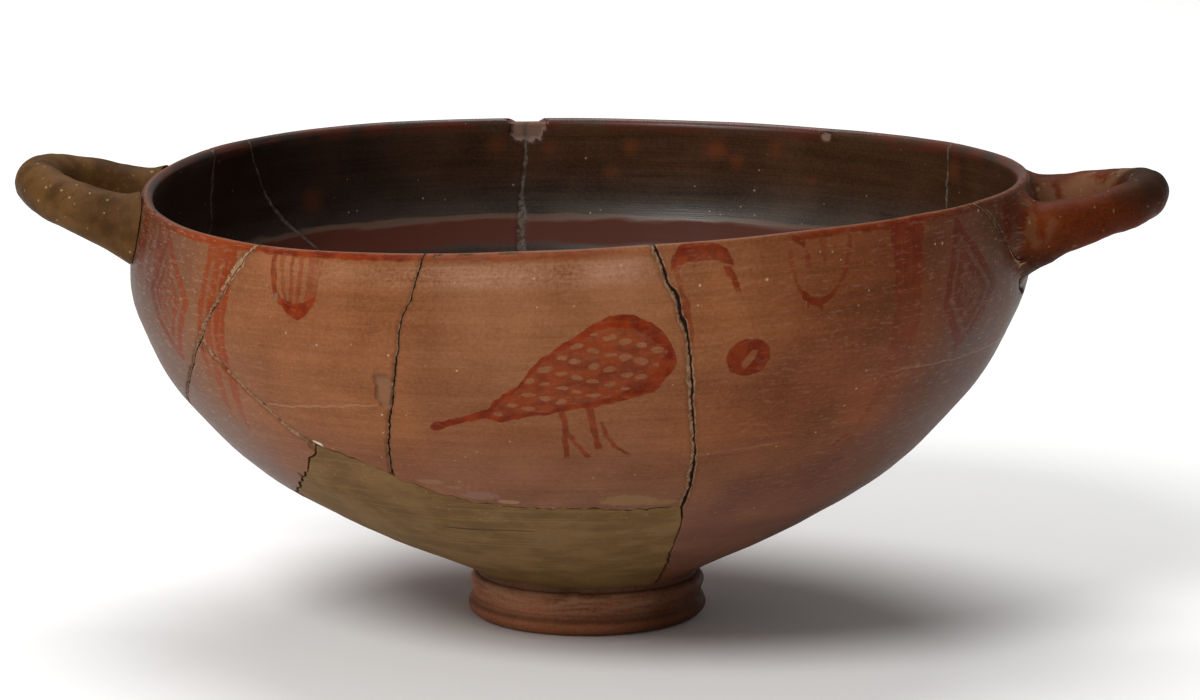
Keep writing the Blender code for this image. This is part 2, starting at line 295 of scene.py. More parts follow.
class Skin:
    """Points and faces of one skin, collected ring by ring."""

    def __init__(self):
        self.points = []
        self.faces = []
        self.finishes = []

    def add(self, points):
        """Keep some points and return their numbers."""
        first = len(self.points)
        self.points.extend(map(tuple, points))
        return np.arange(first, first + len(points))

    def band(self, lower, upper, finish, closed=True):
        """Quads between two rows of points, joined end to end where the rows are rings."""
        count = len(lower) if closed else len(lower) - 1
        for i in range(count):
            j = (i + 1) % len(lower)
            self.faces.append((lower[i], lower[j], upper[j], upper[i]))
            self.finishes.append(finish)

    def fan(self, ring, tip, finish):
        """Triangles from a ring to one point."""
        for i in range(len(ring)):
            self.faces.append((ring[i], ring[(i + 1) % len(ring)], tip))
            self.finishes.append(finish)

    def mesh(self, name):
        """The finished mesh, its faces pointing outwards."""
        mesh = bpy.data.meshes.new(name)
        points = [tuple(map(float, point)) for point in self.points]
        mesh.from_pydata(points, [], [tuple(map(int, face)) for face in self.faces])
        mesh.polygons.foreach_set("material_index", self.finishes)
        work = bmesh.new()
        work.from_mesh(mesh)
        bmesh.ops.recalc_face_normals(work, faces=work.faces)
        work.to_mesh(mesh)
        work.free()
        return mesh


print("rings have", AROUND, "points each")

# %% Rings of the bowl and the foot
FLOOR_RINGS = 7
INNER_RINGS = 44
LIP_RINGS = 7
OUTER_RINGS = 62
LIP_TOP = RIM_HEIGHT - LIP / 2


def ring(radius, height):
    """One true ring of points."""
    return turned_points(BEARINGS, radius, height)


def floor_rings():
    """Rings of the bowl's floor, which dips a little to its middle."""
    (r0, h0), (r1, h1) = (profile_point(h, -WALL) for h in (NECK_HEIGHT, NECK_HEIGHT + 0.0027))
    steepness = (h1 - h0) / (r1 - r0) * r0 / FLOOR_DIP
    shares = np.linspace(0, 1, FLOOR_RINGS + 2)[1:-1]
    return [ring(r0 * s, h0 - FLOOR_DIP * (1 - s ** steepness)) for s in shares], h0 - FLOOR_DIP


def wall_rings(count, outward_at, edge):
    """Rings of the wall from the opening's edge up to the lip."""
    shares = np.linspace(0, 1, count + 1)
    heights = [edge + (LIP_TOP - edge) * s for s in shares]
    return [wall_points(BEARINGS, h, outward_at(h)) for h in heights]


def lip_rings(inner, outer):
    """Rings of the rounded lip between the wall's inner and outer top ring."""
    middle = (inner + outer) / 2
    across = (outer - inner) / 2
    rise = np.array([0, 0, LIP / 2])
    angles = [math.pi - math.pi * k / (LIP_RINGS + 1) for k in range(1, LIP_RINGS + 1)]
    return [middle + across * math.cos(a) + rise * math.sin(a) for a in angles]


def arc(centre, reach, rise, start, end, steps):
    """Radii and heights along an oval arc, its angles in degrees from the outward direction."""
    angles = [math.radians(start + (end - start) * k / steps) for k in range(steps + 1)]
    return [(centre[0] + reach * math.cos(a), centre[1] + rise * math.sin(a)) for a in angles]


def foot_section():
    """The ring foot from the crevice under the bowl down and in to its hollow."""
    band_middle = (FOOT_RADIUS - BAND_INSET - BAND_ROUND, 2 * ROLL_RISE + BAND_ROUND)
    roll_middle = (FOOT_RADIUS - ROLL_REACH, ROLL_RISE)
    band = arc(band_middle, BAND_ROUND, BAND_ROUND, 75, -35, 7)
    roll = arc(roll_middle, ROLL_REACH, ROLL_RISE, 48, -90, 10)
    ceiling = roll_middle[0] - STANDING_WIDTH - HOLLOW_SLOPE
    cove = arc((ceiling, 0.0), HOLLOW_SLOPE, HOLLOW_DEPTH, 0, 90, 5)
    return band + roll + cove + [(ceiling * s, HOLLOW_DEPTH) for s in (0.66, 0.33)]


def bowl_skin():
    """The bowl with its foot as one closed skin, true and not yet sagged."""
    skin = Skin()
    floors, floor_middle = floor_rings()
    rows = [skin.add(points) for points in floors]
    skin.fan(rows[0], skin.add([(0.0, 0.0, floor_middle)])[0], INSIDE)
    neck_in = skin.add(wall_points(BEARINGS, NECK_HEIGHT, -WALL))
    for lower, upper in zip(rows, rows[1:] + [neck_in]):
        skin.band(lower, upper, INSIDE)
    neck_out = skin.add(wall_points(BEARINGS, NECK_HEIGHT))
    within = np.array([PATCH_EDGE[0][0] < b < PATCH_EDGE[-1][0] for b in BEARINGS])
    edge = opening_edge(BEARINGS) + np.where(within, FIT_GAP, 0.0)
    inner = wall_rings(INNER_RINGS, inner_face, edge)
    outer = wall_rings(OUTER_RINGS, outer_face, edge)
    in_rows = [skin.add(points) for points in inner]
    lip_rows = [skin.add(points) for points in lip_rings(inner[-1], outer[-1])]
    out_rows = [skin.add(points) for points in reversed(outer)]
    in_rows[0] = np.where(within, in_rows[0], neck_in)
    out_rows[-1] = np.where(within, out_rows[-1], neck_out)
    rows = in_rows + lip_rows + out_rows
    finishes = [INSIDE] * (len(in_rows) + LIP_RINGS // 2) + [OUTSIDE] * len(rows)
    for lower, upper, finish in zip(rows, rows[1:], finishes):
        skin.band(lower, upper, finish)
    first, last = np.flatnonzero(within)[[0, -1]]
    span = slice(first - 1, last + 2)
    skin.band(out_rows[-1][span], in_rows[0][span], OUTSIDE, closed=False)
    skin.band(neck_out[span], neck_in[span], OUTSIDE, closed=False)
    below = [neck_out] + [skin.add(ring(radius, height)) for radius, height in foot_section()]
    for lower, upper in zip(below, below[1:]):
        skin.band(lower, upper, FOOT)
    skin.fan(below[-1], skin.add([(0.0, 0.0, HOLLOW_DEPTH)])[0], FOOT)
    return skin


bowl = bowl_skin()
print("the bowl's skin has", len(bowl.points), "points and", len(bowl.faces), "faces")

# %% [markdown]
# ## Where the cup broke
#
# A join is a line on the wall where two sherds meet. Each point below is a bearing, a height in mm, half
# the width of the dark gap and half the width of the pale filler around it, both in mm. Some joins are
# wide and full of filler, others are hairlines. The same list later drives the carved grooves and the
# colour, so that both stay together.

# %% The joins, outside and inside
OUTSIDE_JOINS = (
    ((-44.6, 110.4, 0.15, 0.4), (-46.5, 106.8, 0.12, 0.7), (-48.2, 103.0, 0.12, 1.3),
     (-49.6, 98.3, 0.15, 1.0), (-50.8, 94.3, 0.35, 0.55), (-52.2, 90.6, 0.35, 0.5),
     (-53.4, 87.1, 0.3, 0.7), (-54.3, 84.6, 0.35, 0.9), (-55.8, 81.5, 0.3, 0.45), (-58.8, 75.8, 0.28, 0.3),
     (-62.8, 69.9, 0.25, 0.3), (-67.2, 65.2, 0.25, 0.3),
     (-76.0, 57.0, 0.2, 0.4), (-84.0, 45.0, 0.2, 0.4), (-89.0, 33.0, 0.2, 0.4)),
    ((-54.3, 84.6, 0.7, 0.8), (-52.8, 80.2, 0.5, 0.58), (-51.2, 78.0, 0.5, 0.55), (-49.5, 75.0, 0.48, 0.58),
     (-47.0, 70.9, 0.5, 0.58), (-44.8, 67.7, 0.48, 0.58), (-43.2, 64.6, 0.5, 0.7), (-41.5, 62.0, 0.5, 0.9),
     (-39.6, 59.4, 0.5, 1.0)),
    ((-19.8, 110.4, 0.2, 0.2), (-20.0, 107.7, 0.2, 0.2), (-20.5, 103.4, 0.18, 0.2), (-21.0, 98.9, 0.18, 0.2),
     (-22.0, 94.3, 0.2, 0.25), (-22.2, 87.4, 0.2, 0.25), (-23.0, 79.6, 0.25, 0.3), (-24.0, 72.9, 0.25, 0.3),
     (-25.0, 66.8, 0.25, 0.3), (-27.8, 52.6, 0.25, 0.3)),
    ((8.2, 110.4, 0.3, 0.8), (9.2, 106.6, 0.28, 0.8), (10.2, 101.4, 0.3, 0.7), (11.5, 97.9, 0.32, 0.7),
     (12.0, 93.9, 0.3, 0.7), (12.8, 90.2, 0.3, 0.7), (13.2, 85.5, 0.25, 0.7), (13.8, 80.2, 0.2, 0.8),
     (14.3, 75.4, 0.2, 0.6), (15.2, 67.9, 0.22, 0.7), (16.2, 61.6, 0.22, 0.7), (17.0, 55.1, 0.25, 0.8),
     (17.6, 49.4, 0.3, 0.9), (17.5, 44.6, 0.25, 0.7)),
    ((58.5, 110.3, 0.12, 0.3), (62.8, 105.6, 0.12, 0.3), (67.0, 99.7, 0.14, 0.3), (71.5, 92.8, 0.2, 0.5),
     (73.6, 89.8, 0.5, 0.6), (75.2, 85.8, 0.5, 0.5), (83.0, 81.7, 0.25, 0.3), (92.0, 72.0, 0.2, 0.4),
     (104.0, 60.0, 0.2, 0.5), (118.0, 45.0, 0.2, 0.4), (135.0, 33.0, 0.2, 0.4), (150.0, 24.0, 0.2, 0.3)),
    ((188.5, 110.3, 0.1, 0.6), (188.0, 96.0, 0.1, 0.4), (187.0, 80.0, 0.15, 0.5), (190.0, 62.0, 0.1, 0.4)),
    ((119.5, 110.3, 0.1, 0.4), (120.5, 92.0, 0.1, 0.3), (119.0, 74.0, 0.15, 0.4), (114.5, 50.0, 0.15, 0.4)),
    ((-117.5, 110.3, 0.1, 0.4), (-118.5, 88.0, 0.1, 0.3), (-112.0, 66.0, 0.15, 0.4), (-98.0, 52.0, 0.1, 0.3),
     (-87.0, 38.0, 0.1, 0.3)),
)
INSIDE_JOINS = (
    ((-171.5, 110.3, 0.0, 0.2), (-171.7, 100.0, 0.0, 0.45), (-171.4, 90.0, 0.0, 0.45),
     (-171.6, 84.0, 0.0, 0.9), (-171.3, 74.0, 0.0, 1.1), (-172.0, 55.0, 0.1, 0.6), (-170.0, 38.0, 0.1, 0.4)),
    ((119.5, 110.3, 0.0, 0.3), (119.6, 100.0, 0.0, 0.45), (119.3, 80.0, 0.1, 0.4), (114.5, 50.0, 0.1, 0.4)),
    ((-117.5, 110.3, 0.0, 0.4), (-117.6, 100.0, 0.0, 0.5), (-117.9, 91.0, 0.1, 0.3), (-112.0, 66.0, 0.1, 0.3),
     (-98.0, 52.0, 0.1, 0.3)),
    ((-126.0, 110.3, 0.0, 0.2), (-126.3, 107.9, 0.0, 0.3), (-129.2, 97.9, 0.1, 0.2), (-131.2, 92.0, 0.0, 0.5),
     (-135.0, 84.0, 0.0, 0.4), (-143.0, 70.0, 0.1, 0.3), (-150.0, 52.0, 0.1, 0.3)),
    ((8.2, 110.3, 0.3, 0.9), (12.0, 93.9, 0.3, 0.8), (14.0, 78.0, 0.2, 0.7), (17.6, 49.4, 0.2, 0.8)),
    ((-44.6, 110.3, 0.1, 0.8), (-50.8, 94.3, 0.2, 0.7), (-54.3, 84.6, 0.2, 0.9), (-62.8, 69.9, 0.2, 0.4),
     (-84.0, 45.0, 0.2, 0.4)),
    ((-19.8, 110.3, 0.2, 0.3), (-22.2, 87.4, 0.2, 0.3), (-24.0, 72.9, 0.2, 0.3), (-27.8, 52.6, 0.2, 0.3)),
    ((58.5, 110.3, 0.2, 0.3), (75.2, 87.8, 0.2, 0.4), (104.0, 60.0, 0.2, 0.5), (150.0, 24.0, 0.2, 0.3)),
)
JOIN_STEP = 0.25 * MM
WANDER = 0.16 * MM
print(len(OUTSIDE_JOINS), "joins outside and", len(INSIDE_JOINS), "inside")

# %% [markdown]
# To carve and paint along a join we need, for any point, how far it lies from the nearest join and on
# which side. A dense row of samples along each join answers that. Broken clay wanders, so each sample
# is nudged sideways by noise. A tree of the samples then finds the nearest one quickly.

# %% Samples along the joins


class Joins:
    """Samples along the joins of one face of the wall, and the distances to them."""

    def __init__(self, paths, stand_off, seed):
        places, sides, widths = [], [], []
        for number, path in enumerate(paths):
            bearings, heights, gaps, fills = (np.array(column, float) for column in zip(*path))
            spots = wall_points(bearings, heights * MM, stand_off(heights * MM))
            run = np.concatenate([[0], np.cumsum(np.linalg.norm(np.diff(spots, axis=0), axis=1))])
            at = np.arange(0, run[-1], JOIN_STEP)
            height = np.interp(at, run, heights) * MM
            samples = wall_points(np.interp(at, run, bearings), height, stand_off(height))
            ahead = np.gradient(samples, axis=0)
            ahead /= np.linalg.norm(ahead, axis=1, keepdims=True)
            out = samples * [1, 1, 0] - [0, 0, 0.02]
            side = np.cross(ahead, out)
            side /= np.linalg.norm(side, axis=1, keepdims=True)
            sway = ragged(at / MM, 2.6, seed + number) + 0.45 * ragged(at / MM, 0.9, seed + number + 40)
            places.append(samples + side * (WANDER * sway)[:, None])
            sides.append(side)
            swell = 1 + 0.28 * ragged(at / MM, 1.7, seed + number + 80)
            widths.append(np.stack([np.interp(at, run, half) * swell for half in (gaps, fills)], axis=1))
        self.places, self.sides, self.widths = map(np.concatenate, (places, sides, widths))
        self.tree = tree_of(self.places)

    def measure(self, points):
        """Signed distance across the nearest join, plain distance to it, and its two half widths in mm."""
        found = [self.tree.find(point)[1:] for point in points]
        nearest = np.array([index for index, _ in found])
        reach = np.array([distance for _, distance in found])
        across = ((points - self.places[nearest]) * self.sides[nearest]).sum(axis=1)
        return across / MM, reach / MM, self.widths[nearest]


outside_joins = Joins(OUTSIDE_JOINS, outer_face, 1.0)
inside_joins = Joins(INSIDE_JOINS, inner_face, 21.0)
print("samples:", len(outside_joins.places), "outside and", len(inside_joins.places), "inside")

# %% [markdown]
# ## More points where there is detail
#
# A join is a millimetre wide, and the rings are two millimetres apart. Making the whole bowl finer would
# need millions of faces, so only the faces near a join, a flake or a chipped stretch of rim are divided,
# once, twice and, at the widest, three times.

# %% Flakes, and dividing the faces near detail
# Each flake: bearing, height in mm, width and height of the patch in mm, and its depth in mm
OUTSIDE_FLAKES = (
    (-24.6, 76.2, 4.4, 9.4, 0.75),
    (-39.8, 58.0, 2.6, 2.4, 0.5),
    (-40.3, 97.9, 1.4, 2.2, 0.3),
    (-9.0, 110.1, 5.0, 1.0, 0.5),
    (-14.5, 110.2, 3.2, 0.8, 0.45),
    (-18.0, 110.0, 2.2, 1.2, 0.5),
)
INSIDE_FLAKES = (
    (-171.8, 108.6, 9.0, 8.0, 0.9),
    (144.0, 108.6, 3.0, 2.2, 0.6),
)
DIVIDE_REACH = (2.7 * MM, 1.6 * MM, 1.0 * MM)
WIDE_FILL = 0.65


def detail_tree(paths, flakes, stand_off, wide_only):
    """A tree of the spots that need small faces."""
    spots = []
    joins = Joins(paths, stand_off, 0.0)
    wide = joins.widths[:, 1] > WIDE_FILL if wide_only else np.ones(len(joins.places), bool)
    spots.extend(joins.places[wide][::3])
    for bearing, height, wide_mm, tall_mm, _ in flakes:
        turn = np.degrees(wide_mm * MM / outside_radius(height * MM)) / 2
        for b in np.linspace(bearing - turn, bearing + turn, 7):
            for h in np.linspace(height - tall_mm / 2, height + tall_mm / 2, 9):
                level = np.array([min(h * MM, RIM_HEIGHT)])
                spots.append(wall_points(np.array([b]), level, stand_off(level))[0])
    return tree_of(spots)


def divide_near(work, trees, reach):
    """Divide the faces whose middle is within reach of a detail."""
    near = [f for f in work.faces if min(t.find(f.calc_center_median())[2] for t in trees) < reach]
    edges = list({edge for face in near for edge in face.edges})
    bmesh.ops.subdivide_edges(work, edges=edges, cuts=1, use_grid_fill=True)


def refined(mesh):
    """The mesh with small faces where there is detail."""
    all_trees = [detail_tree(OUTSIDE_JOINS, OUTSIDE_FLAKES, outer_face, False),
                 detail_tree(INSIDE_JOINS, INSIDE_FLAKES, inner_face, False)]
    wide_trees = [detail_tree(OUTSIDE_JOINS, OUTSIDE_FLAKES, outer_face, True)]
    work = bmesh.new()
    work.from_mesh(mesh)
    for trees, reach in zip((all_trees, all_trees, wide_trees), DIVIDE_REACH):
        divide_near(work, trees, reach)
    work.to_mesh(mesh)
    work.free()
    return mesh


bowl_mesh = refined(bowl.mesh("bowl"))
print("after dividing, the bowl has", len(bowl_mesh.polygons), "faces")

# %% [markdown]
# ## The handles
#
# Each handle is a roll of clay bent into a horseshoe, pressed on to the wall so that its ends flare. We
# lay oval rings along the bent line and skin them, as in the solids but finer. The ancient handle, to
# the right, was fired as one with the bowl. The left one is a later casting.

# %% Rings along a bent roll
HANDLE_TURN = 4.5
HANDLE_SPREAD = 0.0420
HANDLE_LEAD = 0.0045
ROOT_BURY = 0.0028
FLARE_LENGTH = 0.0060
FLARE_SIDEWAYS = 0.5
ANCIENT_HANDLE = dict(reach=0.0329, limb=0.0108, flare=0.0095, drop=0.0097, rise=0.0079, side=1)
RESTORED_HANDLE = dict(reach=0.0320, limb=0.0117, flare=0.0075, drop=0.0105, rise=0.0082, side=-1)
LIMB_SIDES = 44
LIMB_RINGS = 88


def handle_rings(reach, limb, flare, drop, rise, side):
    """Rings of a rising horseshoe handle: side is 1 to the right and -1 to the left."""
    root_height = RIM_HEIGHT - drop
    wall = float(outside_radius(root_height))
    root = math.sqrt(wall ** 2 - (HANDLE_SPREAD / 2) ** 2)
    bend = root + HANDLE_LEAD
    end = wall + reach - limb / 2
    lead = [(root - ROOT_BURY, -1.0), (root, -1.0)]
    turn = [math.radians(-90 + 180 * k / (LIMB_RINGS - 1)) for k in range(LIMB_RINGS)]
    curve = [(bend + (end - bend) * math.cos(a), math.sin(a)) for a in turn]
    plan = lead + curve + [(out, 1.0) for out, _ in reversed(lead)]
    path = []
    for out, across in plan:
        share = max(0.0, (out - root) / (end - root))
        path.append(Vector((out, across * HANDLE_SPREAD / 2, root_height + rise * share)))
    turn_frame = Matrix.Rotation(math.radians(-HANDLE_TURN), 4, "Z")
    if side < 0:
        turn_frame = turn_frame @ Matrix.Rotation(math.pi, 4, "Z")
    rings = []
    for k, centre in enumerate(path):
        ahead = path[min(k + 1, len(path) - 1)] - path[max(k - 1, 0)]
        across = ahead.cross(Vector((0, 0, 1))).normalized()
        over = across.cross(ahead).normalized()
        grown = flare * math.exp(-max(0.0, centre.x - root) / FLARE_LENGTH)
        tall = (limb + grown) / 2
        wide = (limb + grown * FLARE_SIDEWAYS) / 2
        angles = [2 * math.pi * (j + 0.5) / LIMB_SIDES for j in range(LIMB_SIDES)]
        rings.append([turn_frame @ (centre + across * wide * math.cos(a) + over * tall * math.sin(a))
                      for a in angles])
    return rings


def handle_mesh(name, finish, sizes):
    """A closed mesh through a handle's rings."""
    skin = Skin()
    rows = [skin.add(row) for row in handle_rings(**sizes)]
    for lower, upper in zip(rows, rows[1:]):
        skin.band(lower, upper, finish)
    skin.faces += [tuple(rows[0]), tuple(rows[-1])]
    skin.finishes += [finish, finish]
    return skin.mesh(name)


def place(mesh):
    """An object for a mesh, in the scene."""
    thing = bpy.data.objects.new(mesh.name, mesh)
    bpy.context.scene.collection.objects.link(thing)
    return thing


ancient = place(handle_mesh("ancient handle form", HANDLE, ANCIENT_HANDLE))
restored = place(handle_mesh("restored_handle_cast", 0, RESTORED_HANDLE))
print("each handle has", len(ancient.data.polygons), "faces")

# %% [markdown]
# ## One body, and one that only touches it
#
# A Boolean union welds the ancient handle to the sagged bowl, so that no face is left inside the clay. For
# the casting we do the reverse: the bowl's outline, grown by a hair, is cut away from it.

# %% Weld one handle and fit the other


def move_points(mesh, points):
    """Give a mesh new point positions."""
    mesh.vertices.foreach_set("co", np.ascontiguousarray(points, np.float32).ravel())
    mesh.update()


def read_points(mesh):
    """The positions of a mesh's points."""
    return read_rows(mesh.vertices, "co")


def read_rows(items, what):
    """Three numbers for each of some items."""
    flat = np.empty(len(items) * 3, np.float32)
    items.foreach_get(what, flat)
    return flat.reshape(-1, 3).astype(float)


def bearing_of(points):
    """The bearing of points of the true form, in degrees."""
    return np.degrees(np.arctan2(points[:, 0], -points[:, 1]))


def carved(thing, operation, other):
    """Join another object to this one, or cut it away, and keep the result."""
    step = thing.modifiers.new(operation, "BOOLEAN")
    step.operation = operation
    step.solver = "EXACT"
    step.object = other
    depsgraph = bpy.context.evaluated_depsgraph_get()
    mesh = bpy.data.meshes.new_from_object(thing.evaluated_get(depsgraph))
    thing.modifiers.clear()
    thing.data = mesh
    bpy.data.objects.remove(other)


def outline_block(stand_off):
    """The bowl's outline as a full block, grown by stand_off."""
    block = Skin()
    heights = np.linspace(NECK_HEIGHT, RIM_HEIGHT, 60)
    rows = [block.add(wall_points(BEARINGS, h, stand_off)) for h in heights]
    above = RIM_HEIGHT + 4 * LIP
    rows.append(block.add(ring(RIM_RADIUS + stand_off, above)))
    for lower, upper in zip(rows, rows[1:]):
        block.band(lower, upper, 0)
    block.fan(rows[0], block.add([(0.0, 0.0, NECK_HEIGHT)])[0], 0)
    block.fan(rows[-1], block.add([(0.0, 0.0, above)])[0], 0)
    mesh = block.mesh("bowl outline")
    move_points(mesh, sag(read_points(mesh)))
    return place(mesh)


move_points(bowl_mesh, sag(read_points(bowl_mesh)))
cup = place(bowl_mesh)
carved(cup, "UNION", ancient)
carved(restored, "DIFFERENCE", outline_block(FIT_GAP))
print("the welded cup has", len(cup.data.polygons), "faces, the casting", len(restored.data.polygons))

# %% [markdown]
# ## Where each point came from
#
# The welded mesh no longer knows its rings. We undo the sag and look up the nearest spot on the true
# section, which tells whether a point is on the outside wall, the lip, the inside or the foot, and how
# many millimetres along the wall it lies. Colour is painted with that length later.

# %% Look points up on the section
WALL_OUT, LIP_OUT, LIP_IN, WALL_IN, FLOOR, BASE = range(6)


def section_samples():
    """Radius, height, length along the wall and kind, for many spots of the section."""
    rows = []
    heights = np.linspace(NECK_HEIGHT, LIP_TOP, 1200)
    for kind, outward in ((WALL_OUT, 0.0 * heights), (WALL_IN, -wall_thickness(heights))):
        radius, level = profile_point(heights, outward)
        rows.append(np.stack([radius, level, wall_length(heights), np.full_like(heights, kind)], axis=1))
    out_top, in_top = rows[0][-1, :2], rows[1][-1, :2]
    angles = np.radians(np.linspace(0, 180, 120))
    middle, across = (out_top + in_top) / 2, (out_top - in_top) / 2
    around = middle + np.outer(np.cos(angles), across) + np.outer(np.sin(angles), [0, LIP / 2])
    climb = wall_length(LIP_TOP) + LIP / 2 * np.minimum(angles, math.pi - angles)
    kinds = np.where(angles < math.pi / 2, LIP_OUT, LIP_IN)
    rows.append(np.column_stack([around, climb, kinds]))
    for kind, line in ((BASE, foot_section() + [(0.0, HOLLOW_DEPTH)]), (FLOOR, floor_line())):
        line = np.array(line)
        run = np.concatenate([[0], np.cumsum(np.linalg.norm(np.diff(line, axis=0), axis=1))])
        at = np.linspace(0, run[-1], 400)
        rows.append(np.column_stack([np.interp(at, run, line[:, 0]), np.interp(at, run, line[:, 1]),
                                     -at, np.full_like(at, kind)]))
    return np.concatenate(rows)


def floor_line():
    """The floor's section, from the neck in to the middle."""
    rings, middle = floor_rings()
    outward = -1 / math.cos(math.radians(SEAM))
    line = [(points[0, 1] * outward, points[0, 2]) for points in reversed(rings)]
    return [profile_point(NECK_HEIGHT, -WALL), *line, (0.0, middle)]


samples = section_samples()
section_tree = tree_of([(radius, 0.0, height) for radius, height, _, _ in samples])


def look_up(points):
    """For true points: length along the wall in mm, and kind of place."""
    radii = np.hypot(points[:, 0], points[:, 1])
    nearest = [section_tree.find((r, 0.0, z))[1] for r, z in zip(radii, points[:, 2])]
    return samples[nearest, 2] / MM, samples[nearest, 3].astype(int)


cup_true = unsag(read_points(cup.data))
cup_length, cup_kind = look_up(cup_true)
on_handle = np.zeros(len(cup_true), bool)
on_bowl = np.zeros(len(cup_true), bool)
for face in cup.data.polygons:
    (on_handle if face.material_index == HANDLE else on_bowl)[list(face.vertices)] = True
print("points on the handle:", int(on_handle.sum()), "outside:", int((cup_kind == WALL_OUT).sum()))

# %% [markdown]
# ## Carve the surface
#
# Now each point moves a little along its own normal. Throwing leaves soft rings, and hands leave dents. A
# join is a dark gap between two rough lips of filler. A flake is a shallow bite with a flat bottom.
# Real geometry here means that light catches it from every side.

# %% Relief of the bowl
GAP_DEPTH = 0.75
FILL_DEPTH = 0.22
CRUMB_REACH = 4.0


def soft_step(low, high, values):
    """0 below low, 1 above high, and smooth in between. It falls where low is above high."""
    share = np.clip((values - low) / (high - low), 0, 1)
    return share * share * (3 - 2 * share)


def lumps(points, size, seed):
    """Smooth noise in space with lumps of about that size in metres."""
    return np.array([noise.noise(Vector((x, y, z)) / size + Vector((seed, seed, seed)))
                     for x, y, z in points]) * 1.6


def flake_mask(flakes, bearing, length, radius, allowed, points):
    """Depth in mm and cover, from 0 to 1, of the flakes on the places that are allowed."""
    depth = np.zeros(len(bearing))
    cover = np.zeros(len(bearing))
    rough = 0.16 * lumps(points, 1.3 * MM, 5.0)
    for centre, height, wide, tall, deep in flakes:
        level = min(height * MM, RIM_HEIGHT)
        turn = (bearing - centre + 180) % 360 - 180
        across = np.abs(np.radians(turn)) * radius / MM / (wide / 2)
        along = np.abs(length - wall_length(level) / MM) / (tall / 2)
        cut = (across ** 3 + along ** 3) ** (1 / 3) + rough
        inside = soft_step(1.12, 0.92, cut) * allowed
        depth = np.maximum(depth, deep * inside)
        cover = np.maximum(cover, inside)
    return depth, cover


def join_relief(joins, points, here):
    """How far the surface sinks in mm, and the measures that the paint needs."""
    across = np.full(len(points), 9.0)
    reach = np.full(len(points), 9.0)
    widths = np.zeros((len(points), 2))
    across[here], reach[here], widths[here] = joins.measure(points[here])
    gap, fill = widths[:, 0], widths[:, 1]
    near = reach < CRUMB_REACH
    off = np.abs(across)
    crumbs = np.zeros(len(points))
    crumbs[near] = lumps(points[near], 0.7 * MM, 9.0)
    sink = GAP_DEPTH * soft_step(gap + 0.25, gap * 0.3, off) * soft_step(0.05, 0.45, gap)
    sink += FILL_DEPTH * soft_step(fill + 0.25, fill - 0.15, off) * (0.8 + 0.2 * crumbs)
    sink *= near * (reach < fill + 1.0)
    return sink, across, reach, gap, fill


cup_bearing = bearing_of(cup_true)
cup_radius = np.hypot(cup_true[:, 0], cup_true[:, 1])
outer = on_bowl & np.isin(cup_kind, (WALL_OUT, LIP_OUT))
inner = on_bowl & np.isin(cup_kind, (WALL_IN, LIP_IN, FLOOR))
base = on_bowl & (cup_kind == BASE)
sink_out, across_out, reach_out, gap_out, fill_out = join_relief(outside_joins, cup_true, outer)
sink_in, across_in, reach_in, gap_in, fill_in = join_relief(inside_joins, cup_true, inner)
flake_out, bare_out = flake_mask(OUTSIDE_FLAKES, cup_bearing, cup_length, cup_radius,
                                 np.isin(cup_kind, (WALL_OUT, LIP_OUT, LIP_IN)), cup_true)
flake_in, bare_in = flake_mask(INSIDE_FLAKES, cup_bearing, cup_length, cup_radius,
                               np.isin(cup_kind, (WALL_IN, LIP_IN, LIP_OUT)), cup_true)
print("deepest join", round(float(max(sink_out.max(), sink_in.max())), 2), "mm, deepest flake",
      round(float(max(flake_out.max(), flake_in.max())), 2), "mm")

# %% Move the points and keep what the paint needs
RING_RELIEF = 0.07
INNER_RING_RELIEF = 0.10
DENT_RELIEF = 0.10
FOOT_RELIEF = 0.12
HANDLE_RELIEF = 0.28
SEAM_REACH = 6.0
SEAM_PULL = 0.5
SEAM_ROUNDS = 40
HANDLE_SIDE = 90.0
SHARP_ANGLE = 50
JOIN_MEASURES = ("join_across", "join_reach", "join_gap", "join_fill")
FOOT_LUMPS = ((-6.0, 0.0108, 2.2, 1.0), (-40.0, 0.0098, 1.6, 0.5), (33.0, 0.0104, 1.8, 0.5))


def point_normals(mesh):
    """The smooth normals of a mesh's points."""
    return read_rows(mesh.vertex_normals, "vector")


def raised(mesh, points, by):
    """Points moved along the mesh's normals by so many mm."""
    return points + point_normals(mesh) * (by * MM)[:, None]


def finished(piece, name):
    """Name a piece and shade it smooth, but for its sharp edges."""
    piece.name = name
    piece.data.shade_smooth()
    piece.data.set_sharp_from_angle(angle=math.radians(SHARP_ANGLE))


def cup_relief():
    """How far each point of the cup moves outwards, in mm."""
    raise_by = DENT_RELIEF * lumps(cup_true, 17 * MM, 2.0)
    rings = ragged(cup_length, 5.5, 1.0) + 0.45 * ragged(cup_length, 1.5, 2.0)
    raise_by += np.where(outer, RING_RELIEF * rings, 0) + np.where(inner, INNER_RING_RELIEF * rings, 0)
    raise_by += np.where(base, FOOT_RELIEF * lumps(cup_true, 4 * MM, 3.0), 0)
    dents = lumps(cup_true, 8 * MM, 4.0) + 0.35 * lumps(cup_true, 2.6 * MM, 6.0)
    raise_by += np.where(on_handle & ~on_bowl, HANDLE_RELIEF * dents, 0)
    for bearing, height, size, tall in FOOT_LUMPS:
        middle = turned_points(bearing, FOOT_RADIUS - BAND_INSET, height)
        off = np.linalg.norm(cup_true - middle, axis=1) / MM
        raise_by += tall * soft_step(size, 0.3, off) * base
    raise_by[base & (cup_true[:, 2] < 0.0008)] = 0.0
    return raise_by - sink_out - sink_in - flake_out - flake_in


